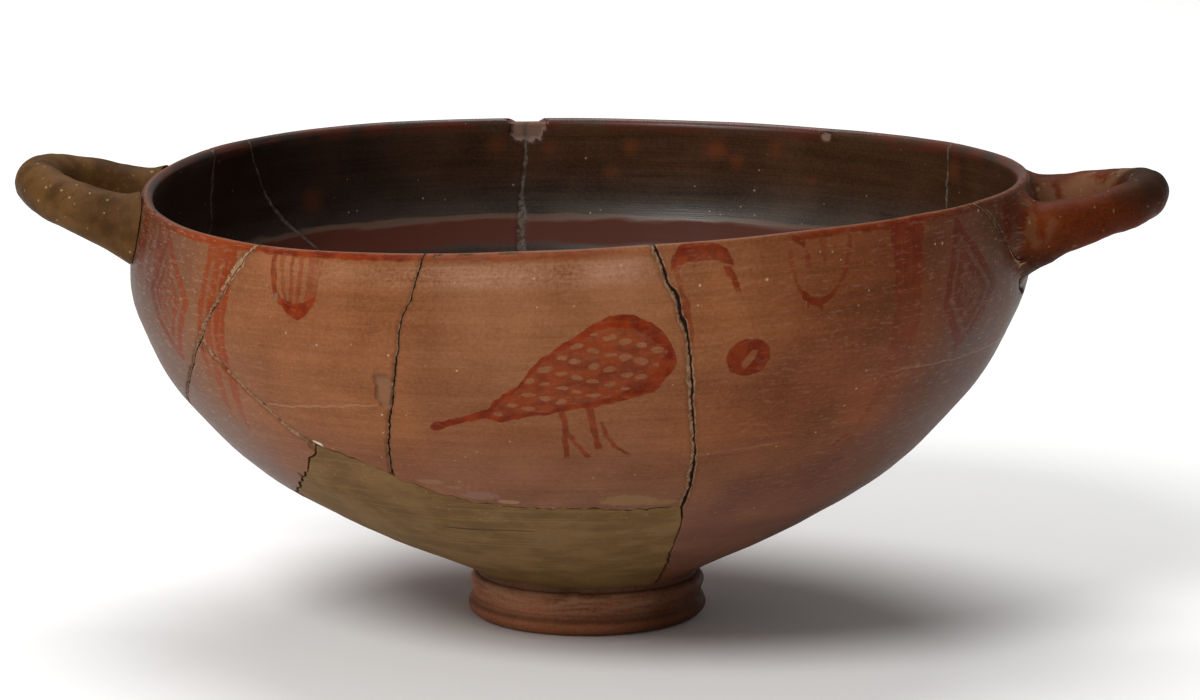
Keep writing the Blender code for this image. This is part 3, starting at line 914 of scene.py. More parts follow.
def keep(mesh, name, values):
    """Store one number or one vector for each point, for the material to read."""
    kind = "FLOAT" if values.ndim == 1 else "FLOAT_VECTOR"
    layer = mesh.attributes.new(name, kind, "POINT")
    layer.data.foreach_set("value" if kind == "FLOAT" else "vector", values.astype(np.float32).ravel())


def smoothed_seam(points):
    """The same points, with those near the handle's seam drawn to the middle of their neighbours."""
    seam_tree = tree_of(points[on_handle & on_bowl])
    free = np.flatnonzero(on_handle | (cup_kind == WALL_OUT))
    free = free[points[free, 0] > HANDLE_SIDE * MM]
    off = np.array([seam_tree.find(points[index])[2] for index in free]) / MM
    weight = np.zeros(len(points))
    weight[free] = SEAM_PULL * soft_step(SEAM_REACH, 0.0, off)
    ends = np.empty(len(cup.data.edges) * 2, np.int32)
    cup.data.edges.foreach_get("vertices", ends)
    ends = ends.reshape(-1, 2)
    ends = ends[(weight[ends] > 0).any(axis=1)]
    count = np.maximum(np.bincount(ends.ravel(), minlength=len(points)), 1)[:, None]
    for _ in range(SEAM_ROUNDS):
        total = np.zeros_like(points)
        np.add.at(total, ends[:, 0], points[ends[:, 1]])
        np.add.at(total, ends[:, 1], points[ends[:, 0]])
        points = points + weight[:, None] * (total / count - points)
    return points


moved = raised(cup.data, read_points(cup.data), cup_relief())
seamless = smoothed_seam(moved)
print("the seam moves by up to", round(float(np.linalg.norm(seamless - moved, axis=1).max()) / MM, 2), "mm")
move_points(cup.data, seamless)
side = np.where(outer[:, None], np.stack([across_out, reach_out, gap_out, fill_out], axis=1),
                np.stack([across_in, reach_in, gap_in, fill_in], axis=1))
keep(cup.data, "wall_place", np.column_stack([cup_true[:, :2] / MM, cup_length]))
for column, name in enumerate(JOIN_MEASURES):
    keep(cup.data, name, side[:, column])
keep(cup.data, "bare_clay", np.maximum(bare_out, bare_in))
finished(cup, "painted_cup")
print("triangles in the cup:", sum(len(face.vertices) - 2 for face in cup.data.polygons))

# %% [markdown]
# ## The plaster patch
#
# The restorer pressed plaster into the hole from both sides and scraped it flush. It has the wall's
# thickness and the hole's outline less a hair. We make it as a block of two sheets, with the soft lumps
# and the drag marks of a scraper.

# %% Build the patch
PATCH_COLUMNS = 260
PATCH_ROWS = 48
PATCH_RELIEF = 0.16


def patch_mesh():
    """The patch as a closed block between the wall's two faces."""
    skin = Skin()
    bearings = np.linspace(PATCH_EDGE[0][0], PATCH_EDGE[-1][0], PATCH_COLUMNS)
    low = NECK_HEIGHT + FIT_GAP
    top = np.maximum(opening_edge(bearings), low + FIT_GAP)
    sheets = []
    for face in (outer_face, inner_face):
        rows = []
        for share in np.linspace(0, 1, PATCH_ROWS + 1):
            height = low + (top - low) * share
            rows.append(skin.add(wall_points(bearings, height, face(height))))
        for lower, upper in zip(rows, rows[1:]):
            skin.band(lower, upper, 0, closed=False)
        sheets.append(rows)
    out, into = sheets
    skin.band(out[0], into[0], 0, closed=False)
    skin.band(out[-1], into[-1], 0, closed=False)
    for end in (0, -1):
        skin.band([row[end] for row in out], [row[end] for row in into], 0, closed=False)
    return skin.mesh("plaster_patch")


patch = place(patch_mesh())
patch_true = read_points(patch.data)
patch_length, _ = look_up(patch_true)
drag = ragged(patch_length, 2.2, 12.0)
patch_raise = PATCH_RELIEF * lumps(patch_true, 11 * MM, 8.0) + 0.05 * drag - 0.12
patch_edge_off = (opening_edge(bearing_of(patch_true)) - patch_true[:, 2]) / MM
patch_raise -= 0.25 * soft_step(1.2, 0.0, patch_edge_off)
move_points(patch.data, sag(raised(patch.data, patch_true, patch_raise)))
keep(patch.data, "wall_place", np.column_stack([patch_true[:, :2] / MM, patch_length]))
finished(patch, "plaster_patch")
print("the patch has", len(patch.data.polygons), "faces")

# %% [markdown]
# The casting on the left gets the same soft dents as a hand-formed handle, but no slip.

# %% Dents in the casting
restored_points = read_points(restored.data)
restored_dents = lumps(restored_points, 9 * MM, 11.0) + 0.3 * lumps(restored_points, 2.8 * MM, 13.0)
restored_moved = raised(restored.data, restored_points, HANDLE_RELIEF * restored_dents)
move_points(restored.data, restored_moved)
finished(restored, "restored_handle_cast")
print("the casting is", round((max(restored_moved[:, 2]) - min(restored_moved[:, 2])) / MM, 1), "mm tall")

# %% [markdown]
# ## A short way to write materials
#
# Every finish here is worked out by nodes. This helper adds them to one material or one group, and lets
# a line of code read like the sum that it stands for. Curves are drawn in millimetres, through points
# that say where a painted edge runs.

# %% The helper for nodes


class Recipe:
    """Adds nodes to a material or a group, each fed with numbers or with other nodes' outputs."""

    def __init__(self, tree):
        self.tree = tree

    def feed(self, socket, value):
        """Link an output to a socket, or set the socket's own value."""
        if isinstance(value, bpy.types.NodeSocket):
            self.tree.links.new(value, socket)
        else:
            socket.default_value = value

    def node(self, kind, settings=None, **inputs):
        """A node with its settings, and its inputs by name with spaces written as underscores."""
        made = self.tree.nodes.new(kind)
        for name, value in (settings or {}).items():
            setattr(made, name, value)
        for name, value in inputs.items():
            self.feed(made.inputs[name.replace("_", " ")], value)
        return made

    def sum(self, operation, *values):
        """One step of arithmetic."""
        made = self.node("ShaderNodeMath", dict(operation=operation))
        for socket, value in zip(made.inputs, values):
            self.feed(socket, value)
        return made.outputs[0]

    def most(self, *values):
        """The greatest of several values."""
        found = values[0]
        for value in values[1:]:
            found = self.sum("MAXIMUM", found, value)
        return found

    def squares(self, first, second):
        """The sum of two squares."""
        return self.scaled(first, first, self.times(second, second))

    def share(self, value):
        """The value held between 0 and 1. A node's own clamp would make the renderer work out of order."""
        return self.most(self.least(value, 1.0), 0.0)

    def step(self, value, low, high, soft=True):
        """0 at low and 1 at high, whichever of the two is the greater number."""
        kind = "SMOOTHSTEP" if soft else "LINEAR"
        made = self.node("ShaderNodeMapRange", dict(interpolation_type=kind, clamp=False), Value=value)
        self.feed(made.inputs["From Min"], low)
        self.feed(made.inputs["From Max"], high)
        return made.outputs[0] if soft else self.share(made.outputs[0])

    def blend(self, factor, first, second, how="MIX"):
        """Mix two colours."""
        made = self.node("ShaderNodeMix", dict(data_type="RGBA", blend_type=how))
        for socket, value in ((made.inputs[0], factor), (made.inputs[6], first), (made.inputs[7], second)):
            self.feed(socket, value)
        return made.outputs[2]

    def tint(self, under, mask, strength, tone):
        """Lay a colour over another where the mask says so."""
        return self.blend(self.times(mask, strength), under, tone)

    def in_millimetres(self):
        """The place on the piece itself, in mm."""
        here = self.node("ShaderNodeTexCoord").outputs["Object"]
        return self.stretched(here, (1 / MM, 1 / MM, 1 / MM))

    def stored(self, name):
        """What was stored on the mesh for each point."""
        return self.node("ShaderNodeAttribute", dict(attribute_type="GEOMETRY", attribute_name=name)).outputs

    def stretched(self, vector, scale):
        """A vector scaled along each axis."""
        made = self.node("ShaderNodeVectorMath", dict(operation="MULTIPLY"))
        self.feed(made.inputs[0], vector)
        made.inputs[1].default_value = scale
        return made.outputs[0]

    def noise(self, vector, scale, detail=2.0, rough=0.5):
        """Cloudy noise from 0 to 1, mostly near one half. Three scales stretch it along the axes."""
        if isinstance(scale, tuple):
            vector, scale = self.stretched(vector, scale), 1.0
        made = self.node("ShaderNodeTexNoise", Vector=vector, Scale=scale, Detail=detail, Roughness=rough)
        return made.outputs[0]

    def cells(self, vector, scale):
        """Distance to the nearest of many scattered spots."""
        made = self.node("ShaderNodeTexVoronoi", Vector=vector, Scale=scale, Randomness=1.0)
        return made.outputs["Distance"]

    def curve(self, value, points, smooth=True):
        """A line drawn through points of value and result."""
        made = self.node("ShaderNodeFloatCurve", Value=value)
        mapping = made.mapping
        mapping.use_clip = False
        mapping.extend = "HORIZONTAL"
        line = mapping.curves[0]
        while len(line.points) < len(points):
            line.points.new(0.5, 0.5)
        for point, where in zip(line.points, points):
            point.location = where
            point.handle_type = "AUTO" if smooth else "VECTOR"
        mapping.update()
        return made.outputs[0]

    def place(self, group, **inputs):
        """A group placed here with its own values."""
        made = self.tree.nodes.new("ShaderNodeGroup")
        made.node_tree = group
        for name, value in inputs.items():
            self.feed(made.inputs[name.replace("_", " ")], value)
        return made.outputs


STEPS = dict(times="MULTIPLY", scaled="MULTIPLY_ADD", plus="ADD", less="SUBTRACT", over="DIVIDE",
             least="MINIMUM", size="ABSOLUTE")
for word, operation in STEPS.items():
    setattr(Recipe, word, partialmethod(Recipe.sum, operation))


def new_group(name, inputs, outputs):
    """An empty group with named sockets: its recipe, its inputs and its output node."""
    tree = bpy.data.node_groups.new(name, "ShaderNodeTree")
    kinds = dict(value="NodeSocketFloat", colour="NodeSocketColor", vector="NodeSocketVector")
    for direction, sockets in (("INPUT", inputs), ("OUTPUT", outputs)):
        for socket_name, kind in sockets.items():
            socket_name = socket_name.replace("_", " ")
            tree.interface.new_socket(socket_name, in_out=direction, socket_type=kinds[kind])
    recipe = Recipe(tree)
    given = tree.nodes.new("NodeGroupInput").outputs
    result = tree.nodes.new("NodeGroupOutput").inputs
    return tree, recipe, given, result


def srgb(red, green, blue):
    """A colour given in screen values from 0 to 255."""
    def linear(c):
        c /= 255
        return c / 12.92 if c <= 0.04045 else ((c + 0.055) / 1.055) ** 2.4
    return (linear(red), linear(green), linear(blue), 1.0)


print("one cream in linear light:", [round(c, 3) for c in srgb(168, 146, 112)])

# %% [markdown]
# ## Where on the wall
#
# Every finish needs to know where it is. The stored place gives the true turned position and the length
# along the wall, all in millimetres. From it come the bearing and the radius.

# %% Group: place on the wall
ON_WALL = dict(Bearing="value", Radius="value", Length="value", Place="vector")


def place_group():
    """Bearing in degrees, radius and length in mm, and the place itself as a vector for noise."""
    tree, at, given, result = new_group("place on the wall", {}, ON_WALL)
    place = at.stored("wall_place")["Vector"]
    parts = at.node("ShaderNodeSeparateXYZ", Vector=place).outputs
    back = at.times(parts[1], -1.0)
    turn = at.sum("ARCTAN2", parts[0], back)
    at.feed(result["Bearing"], at.times(turn, 180 / math.pi))
    squares = at.squares(parts[0], back)
    at.feed(result["Radius"], at.sum("SQRT", squares))
    at.feed(result["Length"], parts[2])
    at.feed(result["Place"], place)
    return tree


WALL_PLACE = place_group()
print("group:", WALL_PLACE.name)

# %% [markdown]
# ## Wheel-turned clay
#
# Thrown clay keeps fine level streaks from the wheel and from burnishing, over slow clouds of colour from
# the fire. White grits and small dark pits dot it. Stretching the noise far along the turning direction
# and squeezing it along the wall gives the streaks.

# %% Group: wheel-turned clay
PALE_GRIT = srgb(196, 176, 150)
DARK_PIT = srgb(48, 26, 18)


def turned_clay_group():
    """Colour, gloss change and relief of burnished clay that was turned on a wheel."""
    tree, at, given, result = new_group(
        "wheel-turned clay",
        dict(Place="vector", Light="colour", Dark="colour", Streaks="value", Specks="value"),
        dict(Colour="colour", Wear="value", Relief="value"))
    place = given["Place"]
    clouds = at.noise(place, 0.045, 2.0, 0.55)
    long_streaks = at.noise(place, (0.018, 0.018, 0.55), 2.0, 0.65)
    fine_streaks = at.noise(place, (0.06, 0.06, 2.4), 1.0, 0.6)
    streaks = at.scaled(fine_streaks, 0.45, at.times(long_streaks, 0.75))
    streaks = at.times(at.less(streaks, 0.60), given["Streaks"])
    grain = at.noise(place, 1.3, 1.0, 0.7)
    tone = at.plus(at.step(clouds, 0.22, 0.78, False), streaks)
    tone = at.share(at.scaled(at.less(grain, 0.5), 1.0, tone))
    colour = at.blend(tone, given["Dark"], given["Light"])
    spots = at.cells(place, 0.22)
    size = at.times(at.noise(place, 0.6, 0.0), 0.16)
    white = at.times(at.step(spots, size, 0.0), given["Specks"])
    pits = at.cells(place, 0.35)
    pit = at.times(at.step(pits, 0.11, 0.04), at.step(grain, 0.52, 0.60))
    colour = at.tint(colour, white, 0.75, PALE_GRIT)
    colour = at.tint(colour, pit, 0.65, DARK_PIT)
    at.feed(result["Colour"], colour)
    at.feed(result["Wear"], tone)
    at.feed(result["Relief"], at.scaled(fine_streaks, 0.6, at.times(grain, 0.35)))
    return tree


TURNED_CLAY = turned_clay_group()
print("group:", TURNED_CLAY.name)

# %% [markdown]
# ## Mended joins
#
# The restorer glued the sherds and filled the gaps. What shows is a dark line where the gap is open, and
# a ragged margin of cream filler beside it. The grooves are real geometry, and here they get their colour.

# %% Group: mended join
GAP_ASIDE = 0.38


def join_group():
    """Masks of the open gap and of the filler, and the colour that they give to what is under them."""
    tree, at, given, result = new_group(
        "mended join", dict(Under="colour", Filler="colour", Dirt="colour", Gap="colour", Place="vector",
                            Cover="value"),
        dict(Colour="colour", Rough="value"))
    stored = {name: at.stored(name)["Fac"] for name in JOIN_MEASURES}
    crumbs = at.noise(given["Place"], 0.9, 1.0, 0.6)
    patches = at.noise(given["Place"], 0.16, 1.0, 0.5)
    wander = at.scaled(crumbs, 0.36, -0.18)
    across = at.plus(stored["join_across"], wander)
    close = at.step(stored["join_reach"], 2.6, 2.0)
    half_gap = at.times(stored["join_gap"], at.step(patches, 0.10, 0.28))
    aside = at.times(stored["join_fill"], GAP_ASIDE)
    gap = at.step(at.less(at.size(at.plus(across, aside)), half_gap), 0.16, -0.12)
    open_gap = at.times(at.times(gap, at.step(half_gap, 0.03, 0.10)), close)
    off = at.size(across)
    ragged_fill = at.times(stored["join_fill"], at.step(crumbs, 0.12, 0.50))
    fill = at.step(at.less(off, ragged_fill), 0.20, -0.14)
    stain = at.step(at.less(off, stored["join_fill"]), 1.2, -0.1)
    stain = at.times(at.times(stain, close), 0.22)
    cover = at.times(at.times(fill, close), at.step(patches, 0.20, 0.36))
    filler = at.blend(at.step(crumbs, 0.34, 0.66), given["Dirt"], given["Filler"])
    colour = at.blend(stain, given["Under"], given["Gap"])
    colour = at.blend(at.times(cover, given["Cover"]), colour, filler)
    at.feed(result["Colour"], at.blend(open_gap, colour, given["Gap"]))
    at.feed(result["Rough"], at.most(cover, open_gap))
    return tree


MENDED_JOIN = join_group()
print("group:", MENDED_JOIN.name)

# %% [markdown]
# ## The brush
#
# The painter worked with a soft brush and thin slip, so every line swells, tapers and wavers. One brushed
# line is a set of curves along its run: where its middle is, how wide it is, and how much slip it left.
# Masks are chained, each line taking what is painted so far and adding itself, as the painter did.

# %% Group: a spot beside a figure, and the brushed line


def spot_group():
    """Millimetres across and up from a figure's own middle on the wall."""
    tree, at, given, result = new_group(
        "spot beside a figure",
        dict(Bearing="value", Radius="value", Length="value", Middle_bearing="value", Middle_length="value"),
        dict(Across="value", Up="value"))
    turned = at.less(given["Bearing"], given["Middle bearing"])
    at.feed(result["Across"], at.times(turned, at.times(given["Radius"], math.pi / 180)))
    at.feed(result["Up"], at.less(given["Length"], given["Middle length"]))
    return tree


SPOT = spot_group()
SOFT_EDGE = (0.22, -0.18)
LINE_END = 0.5


def figure_spot(at, wall, bearing, length):
    """The spot beside a figure whose middle is at this bearing and length."""
    return at.place(SPOT, Bearing=wall["Bearing"], Radius=wall["Radius"], Length=wall["Length"],
                    Middle_bearing=bearing, Middle_length=length)


def brushed(at, painted, run, beside, lines):
    """Lay lines over what is painted. Each point of a line: run, beside, half width in mm, and strength."""
    for line in lines:
        laid = [(point[0], point[3]) for point in line]
        laid = [(line[0][0] - LINE_END, 0.0), *laid, (line[-1][0] + LINE_END, 0.0)]
        middle = at.curve(run, [point[:2] for point in line])
        width = at.curve(run, [(point[0], point[2]) for point in line])
        strength = at.curve(run, laid, smooth=False)
        off = at.size(at.less(beside, middle))
        covered = at.step(at.less(off, width), *SOFT_EDGE)
        painted = at.most(painted, at.times(covered, strength))
    return painted


print("group:", SPOT.name)

# %% [markdown]
# ## The hatched bird
#
# A generic water bird, as such cups often have: a drop-shaped body filled with hatching, two legs with two
# toes, a thin raised neck, and a head below the rim. The body is drawn along its own slanting axis, with
# one curve for its back and one for its belly. Round light spots on a slanting lattice are the clay left
# bare between crossing hatch lines.

# %% Group: hatched bird
BIRD_AT = (2.0, 101.0)
BODY_SLANT = 17.1
BACK = ((-23.6, 7.6), (-22.0, 9.0), (-18.9, 10.7), (-15.2, 12.3), (-9.5, 16.6), (-4.8, 18.7), (0.5, 20.1),
        (5.6, 21.6), (11.2, 21.7), (16.2, 19.5), (20.0, 15.4), (21.9, 10.9), (22.3, 7.0))
BELLY = ((-23.6, 5.0), (-21.0, 3.5), (-16.4, 3.2), (-11.0, 2.4), (-4.7, 2.0), (2.2, 0.8), (10.0, 0.4),
         (15.7, 0.8), (19.4, 3.6), (21.6, 5.6), (22.3, 7.0))
HATCH_ALONG = (3.8, -1.1)
HATCH_UP = (3.6, 2.85)
HATCH_START = (3.3, 15.2)
TAIL = (((-38.0, -4.9, 0.6, 1.0), (-36.5, -4.5, 1.25, 1.0), (-35.0, -3.9, 1.15, 1.0), (-29.0, -2.0, 1.0, 1.0),
         (-23.0, 0.1, 1.5, 1.0)),)
LEGS = (
    ((-14.4, -5.5, 0.65, 0.85), (-9.0, -5.7, 0.7, 0.85), (-4.0, -5.9, 0.75, 0.8), (1.2, -7.6, 0.9, 0.75)),
    ((-14.2, -0.4, 0.6, 0.85), (-9.9, -3.0, 0.6, 0.8), (-5.0, -6.0, 0.7, 0.7)),
    ((-11.2, 2.1, 0.75, 0.85), (-4.0, 0.4, 0.75, 0.75), (1.9, -1.2, 1.0, 0.7)),
    ((-13.5, 8.7, 0.6, 0.85), (-10.2, 5.6, 0.65, 0.8), (-3.6, 2.4, 0.5, 0.7)),
)
NECK = (((15.0, 21.8, 0.4, 0.4), (19.0, 21.9, 0.95, 0.6), (24.0, 21.0, 1.0, 0.7), (30.2, 18.9, 0.55, 0.5),
         (34.0, 17.9, 0.8, 0.55)),)
HEAD = (((17.0, 35.2, 1.6, 0.95), (19.5, 37.0, 2.4, 1.0), (23.0, 37.3, 2.2, 0.85), (27.0, 37.0, 2.0, 0.85),
         (30.5, 35.2, 1.3, 1.0), (31.4, 34.2, 0.7, 0.9)),)
BEAK = (((27.9, 33.4, 0.6, 0.95), (30.0, 32.0, 0.85, 0.95), (33.2, 30.2, 0.95, 0.9)),)


def bird_group():
    """Paint of the bird, from nothing to full."""
    tree, at, given, result = new_group("hatched bird", ON_WALL, dict(Painted="value"))
    here = figure_spot(at, given, *BIRD_AT)
    across, up = here["Across"], here["Up"]
    cos, sin = math.cos(math.radians(BODY_SLANT)), math.sin(math.radians(BODY_SLANT))
    along = at.scaled(across, cos, at.times(up, sin))
    above = at.scaled(up, cos, at.times(across, -sin))
    under_back = at.less(at.curve(along, BACK), above)
    over_belly = at.less(above, at.curve(along, BELLY))
    depth = at.least(under_back, over_belly)
    body = at.times(at.step(depth, -0.2, 0.25), at.step(along, 22.5, 22.1))
    body = at.times(body, at.step(along, -24.0, -23.4))
    border = at.curve(along, ((-24.0, 2.0), (-18.0, 1.3), (0.0, 1.5), (6.0, 2.1), (12.0, 2.9), (18.0, 4.6)))
    turn = HATCH_ALONG[0] * HATCH_UP[1] - HATCH_ALONG[1] * HATCH_UP[0]
    dx = at.less(across, HATCH_START[0])
    dy = at.less(up, HATCH_START[1])
    first = at.scaled(dx, HATCH_UP[1] / turn, at.times(dy, -HATCH_UP[0] / turn))
    second = at.scaled(dx, -HATCH_ALONG[1] / turn, at.times(dy, HATCH_ALONG[0] / turn))
    off_first = at.over(at.sum("WRAP", first, 0.5, -0.5), 0.34)
    off_second = at.over(at.sum("WRAP", second, 0.5, -0.5), 0.20)
    off = at.sum("SQRT", at.squares(off_first, off_second))
    uneven = at.noise(given["Place"], 0.35, 1.0)
    off = at.scaled(at.less(uneven, 0.5), 1.5, off)
    within = at.step(at.less(depth, border), -0.25, 0.35)
    light = at.times(at.step(off, 1.15, 0.8), within)
    solid = at.scaled(within, -0.2, at.scaled(light, -0.75, 1.0))
    painted = at.times(body, at.share(solid))
    painted = brushed(at, painted, across, up, TAIL + HEAD)
    painted = brushed(at, painted, up, across, LEGS + NECK + BEAK)
    at.feed(result["Painted"], painted)
    return tree


HATCHED_BIRD = bird_group()
print("group:", HATCHED_BIRD.name, "with", len(HATCHED_BIRD.nodes), "nodes")

# %% [markdown]
# ## Lozenges, line groups and buds
#
# Between the handles and the bird stand double lozenges with hatching, groups of upright lines that hang
# from the rim, and buds. A ring fills the space beyond the bird's breast. Near the handles there are
# short upright lines.

# %% Group: ornaments around the wall
LOZENGES = (
    ((-63.5, 120.9), ((-2.9, 17.8), (13.0, 1.4), (3.6, -16.2), (-10.6, 1.2))),
    ((56.5, 119.9), ((-6.0, 18.6), (13.6, 1.3), (0.2, -14.0), (-11.8, -1.0))),
)
LOZENGE_RINGS = ((-0.3, 0.0), (0.05, 1.0), (1.9, 1.0), (2.4, 0.06), (3.5, 0.06), (3.9, 0.9), (5.0, 0.9),
                 (5.4, 0.0))
LEFT_LINES_AT = (-51.5, 120.0)
LEFT_LINES = ((-6.3, 0.0), (-5.7, 0.85), (-4.1, 0.85), (-3.5, 0.05), (-2.7, 0.05), (-2.2, 0.8), (-0.2, 0.85),
              (0.4, 0.2), (1.0, 0.2), (1.6, 0.95), (2.9, 0.95), (3.3, 0.5), (3.7, 0.9), (5.0, 0.95),
              (5.7, 0.0))
RIGHT_LINES_AT = (44.0, 120.0)
RIGHT_LINES = ((-5.1, 0.0), (-4.5, 0.9), (-2.6, 0.85), (-2.1, 0.5), (-1.6, 0.9), (0.4, 0.85), (0.9, 0.5),
               (1.4, 0.9), (4.1, 0.95), (4.7, 0.0))
LINE_TAPERS = (
    ((-31.0, -5.0, 0.5, 0.5), (-14.0, -2.6, 1.5, 0.65)), ((-33.0, -1.0, 0.5, 0.5), (-16.0, 2.9, 1.9, 0.65)),
)
RIGHT_TAPERS = (
    ((-32.0, -3.6, 0.7, 0.3), (-24.0, -2.5, 1.3, 0.32), (-14.0, -0.5, 2.2, 0.34)),
    ((-36.8, -7.4, 0.6, 0.6), (-33.2, -5.4, 0.9, 0.6)), ((-36.5, -3.9, 0.5, 0.45), (-34.0, -2.8, 0.7, 0.45)),
)
LEFT_BUD_AT = (-37.5, 129.0)
LEFT_BUD_LINES = (
    ((-2.5, -3.4, 0.9, 0.9), (0.0, -5.2, 0.9, 0.85), (4.0, -6.6, 0.9, 0.8), (10.6, -7.3, 0.75, 0.8)),
    ((-1.8, -1.9, 0.6, 0.6), (4.0, -4.0, 0.6, 0.5), (11.0, -4.4, 0.7, 0.45)),
    ((-1.8, -0.3, 0.7, 0.6), (11.0, -1.9, 0.45, 0.6)), ((-1.8, 1.7, 0.7, 0.6), (11.0, 1.3, 0.7, 0.6)),
    ((-0.8, 4.6, 1.0, 0.5), (10.5, 5.0, 1.5, 0.5)), ((-0.6, 6.2, 0.6, 0.45), (9.0, 7.2, 0.5, 0.45)),
)
LEFT_BUD_BASE = (
    ((-3.4, -2.0, 0.6, 1.0), (-1.2, -3.0, 1.5, 1.0), (1.4, -3.8, 2.1, 1.0), (3.6, -3.3, 2.0, 1.0),
     (6.3, -0.6, 0.8, 1.0)),
)
RIGHT_BUD_AT = (30.0, 129.5)
RIGHT_BUD_LINES = (
    ((-3.6, -3.8, 0.8, 0.6), (1.0, -6.8, 0.5, 0.5), (6.9, -7.8, 0.6, 0.45)),
    ((-1.0, 5.6, 0.6, 0.6), (2.2, 7.4, 0.7, 0.6), (9.0, 8.2, 0.5, 0.5)),
    ((3.6, 1.2, 0.4, 0.4), (10.0, 0.6, 1.0, 0.4)), ((2.8, -3.2, 0.7, 0.5), (6.0, -3.6, 0.8, 0.5)),
    ((-6.8, 0.6, 0.25, 0.8), (-5.0, 0.4, 0.7, 0.8)), ((-5.8, -2.8, 0.3, 0.8), (-3.8, -3.0, 0.7, 0.8)),
)
RIGHT_BUD_BASE = (
    ((-4.6, -3.0, 0.8, 0.9), (-2.0, -4.4, 0.9, 0.9), (0.4, -5.0, 0.9, 0.9), (4.6, -2.6, 0.7, 0.8),
     (6.0, -0.6, 0.6, 0.7)),
    ((-7.6, 10.6, 1.2, 0.85), (-4.5, 8.0, 1.0, 0.85)),
    ((-2.8, 10.6, 0.9, 0.75), (1.0, 10.4, 1.1, 0.75), (5.2, 10.0, 1.0, 0.7)),
)
RING_AT = (21.0, 113.2)
BESIDE_HANDLES = (
    (66.0, 0.0), (66.6, 0.7), (68.6, 0.8), (69.2, 0.15), (69.8, 0.1), (70.3, 0.7), (71.6, 0.7),
    (72.2, 0.15), (73.2, 0.1), (73.8, 0.9), (76.4, 0.9), (77.2, 0.3), (79.0, 0.1), (79.6, 0.5),
    (81.0, 0.5), (81.6, 0.0),
)


def lozenge(at, painted, here, corners, place):
    """A double lozenge with crossing hatch lines in its middle."""
    across, up = here["Across"], here["Up"]
    depth = None
    slants = []
    for (x0, y0), (x1, y1) in zip(corners, corners[1:] + corners[:1]):
        run = math.hypot(x1 - x0, y1 - y0)
        down, over = (y1 - y0) / run, (x1 - x0) / run
        side = at.scaled(across, down, at.scaled(up, -over, y0 * over - x0 * down))
        slants.append(side)
        depth = side if depth is None else at.least(depth, side)
    rings = at.curve(depth, LOZENGE_RINGS, smooth=False)
    lines = [at.step(at.sum("PINGPONG", side, 1.35), 0.75, 0.4) for side in slants[:2]]
    hatch = at.times(at.most(*lines), at.step(depth, 4.6, 5.0))
    faded = at.step(at.noise(place, 0.5, 0.0), 0.36, 0.60)
    hatch = at.times(hatch, at.scaled(faded, 0.55, 0.2))
    return at.most(painted, at.times(rings, 0.8), hatch)


def line_group(at, painted, here, stripes, lean, fade):
    """Upright parallel lines: their spacing across, their lean, and how they fade on the way down."""
    centred = at.less(here["Across"], at.curve(here["Up"], lean))
    wash = at.times(at.step(at.size(centred), 6.2, 4.8), 0.2)
    stripes = at.most(at.curve(centred, stripes, smooth=False), wash)
    laid = at.times(stripes, at.curve(here["Up"], fade))
    block = at.times(at.step(at.size(centred), 5.9, 5.3), at.step(here["Up"], 13.6, 15.6))
    return at.most(painted, laid, at.times(block, 0.85))


def ornament_group():
    """Paint of all the ornaments but the bird. Those at the back mirror those at the front."""
    tree, at, given, result = new_group("ornaments", ON_WALL, dict(Painted="value"))
    folded = at.sum("ARCSINE", at.sum("SINE", at.times(given["Bearing"], math.pi / 180)))
    folded = at.times(folded, 180 / math.pi)
    both = dict(Bearing=folded, Radius=given["Radius"], Length=given["Length"])
    painted = 0.0
    for middle, corners in LOZENGES:
        painted = lozenge(at, painted, figure_spot(at, both, *middle), corners, given["Place"])
    here = figure_spot(at, both, *LEFT_LINES_AT)
    painted = line_group(at, painted, here, LEFT_LINES, ((-17.0, -1.6), (15.0, 1.0)),
                         ((-18.0, 0.0), (-15.0, 0.6), (-4.0, 0.95), (6.0, 1.0), (20.0, 1.0)))
    painted = brushed(at, painted, here["Up"], here["Across"], LINE_TAPERS)
    here = figure_spot(at, both, *RIGHT_LINES_AT)
    painted = line_group(at, painted, here, RIGHT_LINES, ((-17.0, 0.6), (15.0, -0.4)),
                         ((-17.0, 0.0), (-12.0, 0.35), (-2.0, 0.5), (4.0, 0.62), (10.0, 0.9), (20.0, 1.0)))
    painted = brushed(at, painted, here["Up"], here["Across"], RIGHT_TAPERS)
    for middle, lines, base in ((LEFT_BUD_AT, LEFT_BUD_LINES, LEFT_BUD_BASE),
                                (RIGHT_BUD_AT, RIGHT_BUD_LINES, RIGHT_BUD_BASE)):
        here = figure_spot(at, given, *middle)
        painted = brushed(at, painted, here["Up"], here["Across"], lines)
        painted = brushed(at, painted, here["Across"], here["Up"], base)
    here = figure_spot(at, given, *RING_AT)
    wide = at.over(here["Across"], 5.5)
    tall = at.over(here["Up"], 4.7)
    ring = at.step(at.squares(wide, tall), 1.06, 0.90)
    slant_across = at.scaled(here["Across"], 0.79, at.times(here["Up"], -0.61))
    slant_up = at.scaled(here["Across"], 0.61, at.times(here["Up"], 0.79))
    slant_across = at.over(at.less(slant_across, 0.5), 1.15)
    slant_up = at.over(slant_up, 2.7)
    hole = at.squares(slant_across, slant_up)
    painted = at.most(painted, at.times(ring, at.scaled(at.step(hole, 0.6, 1.2), 0.8, 0.2)))
    beside = at.curve(at.size(folded), BESIDE_HANDLES, smooth=False)
    beside = at.times(beside, at.curve(given["Length"], ((118.0, 0.0), (124.0, 0.6), (140.0, 0.8))))
    at.feed(result["Painted"], at.most(painted, beside))
    return tree


ORNAMENTS = ornament_group()
print("group:", ORNAMENTS.name, "with", len(ORNAMENTS.nodes), "nodes")

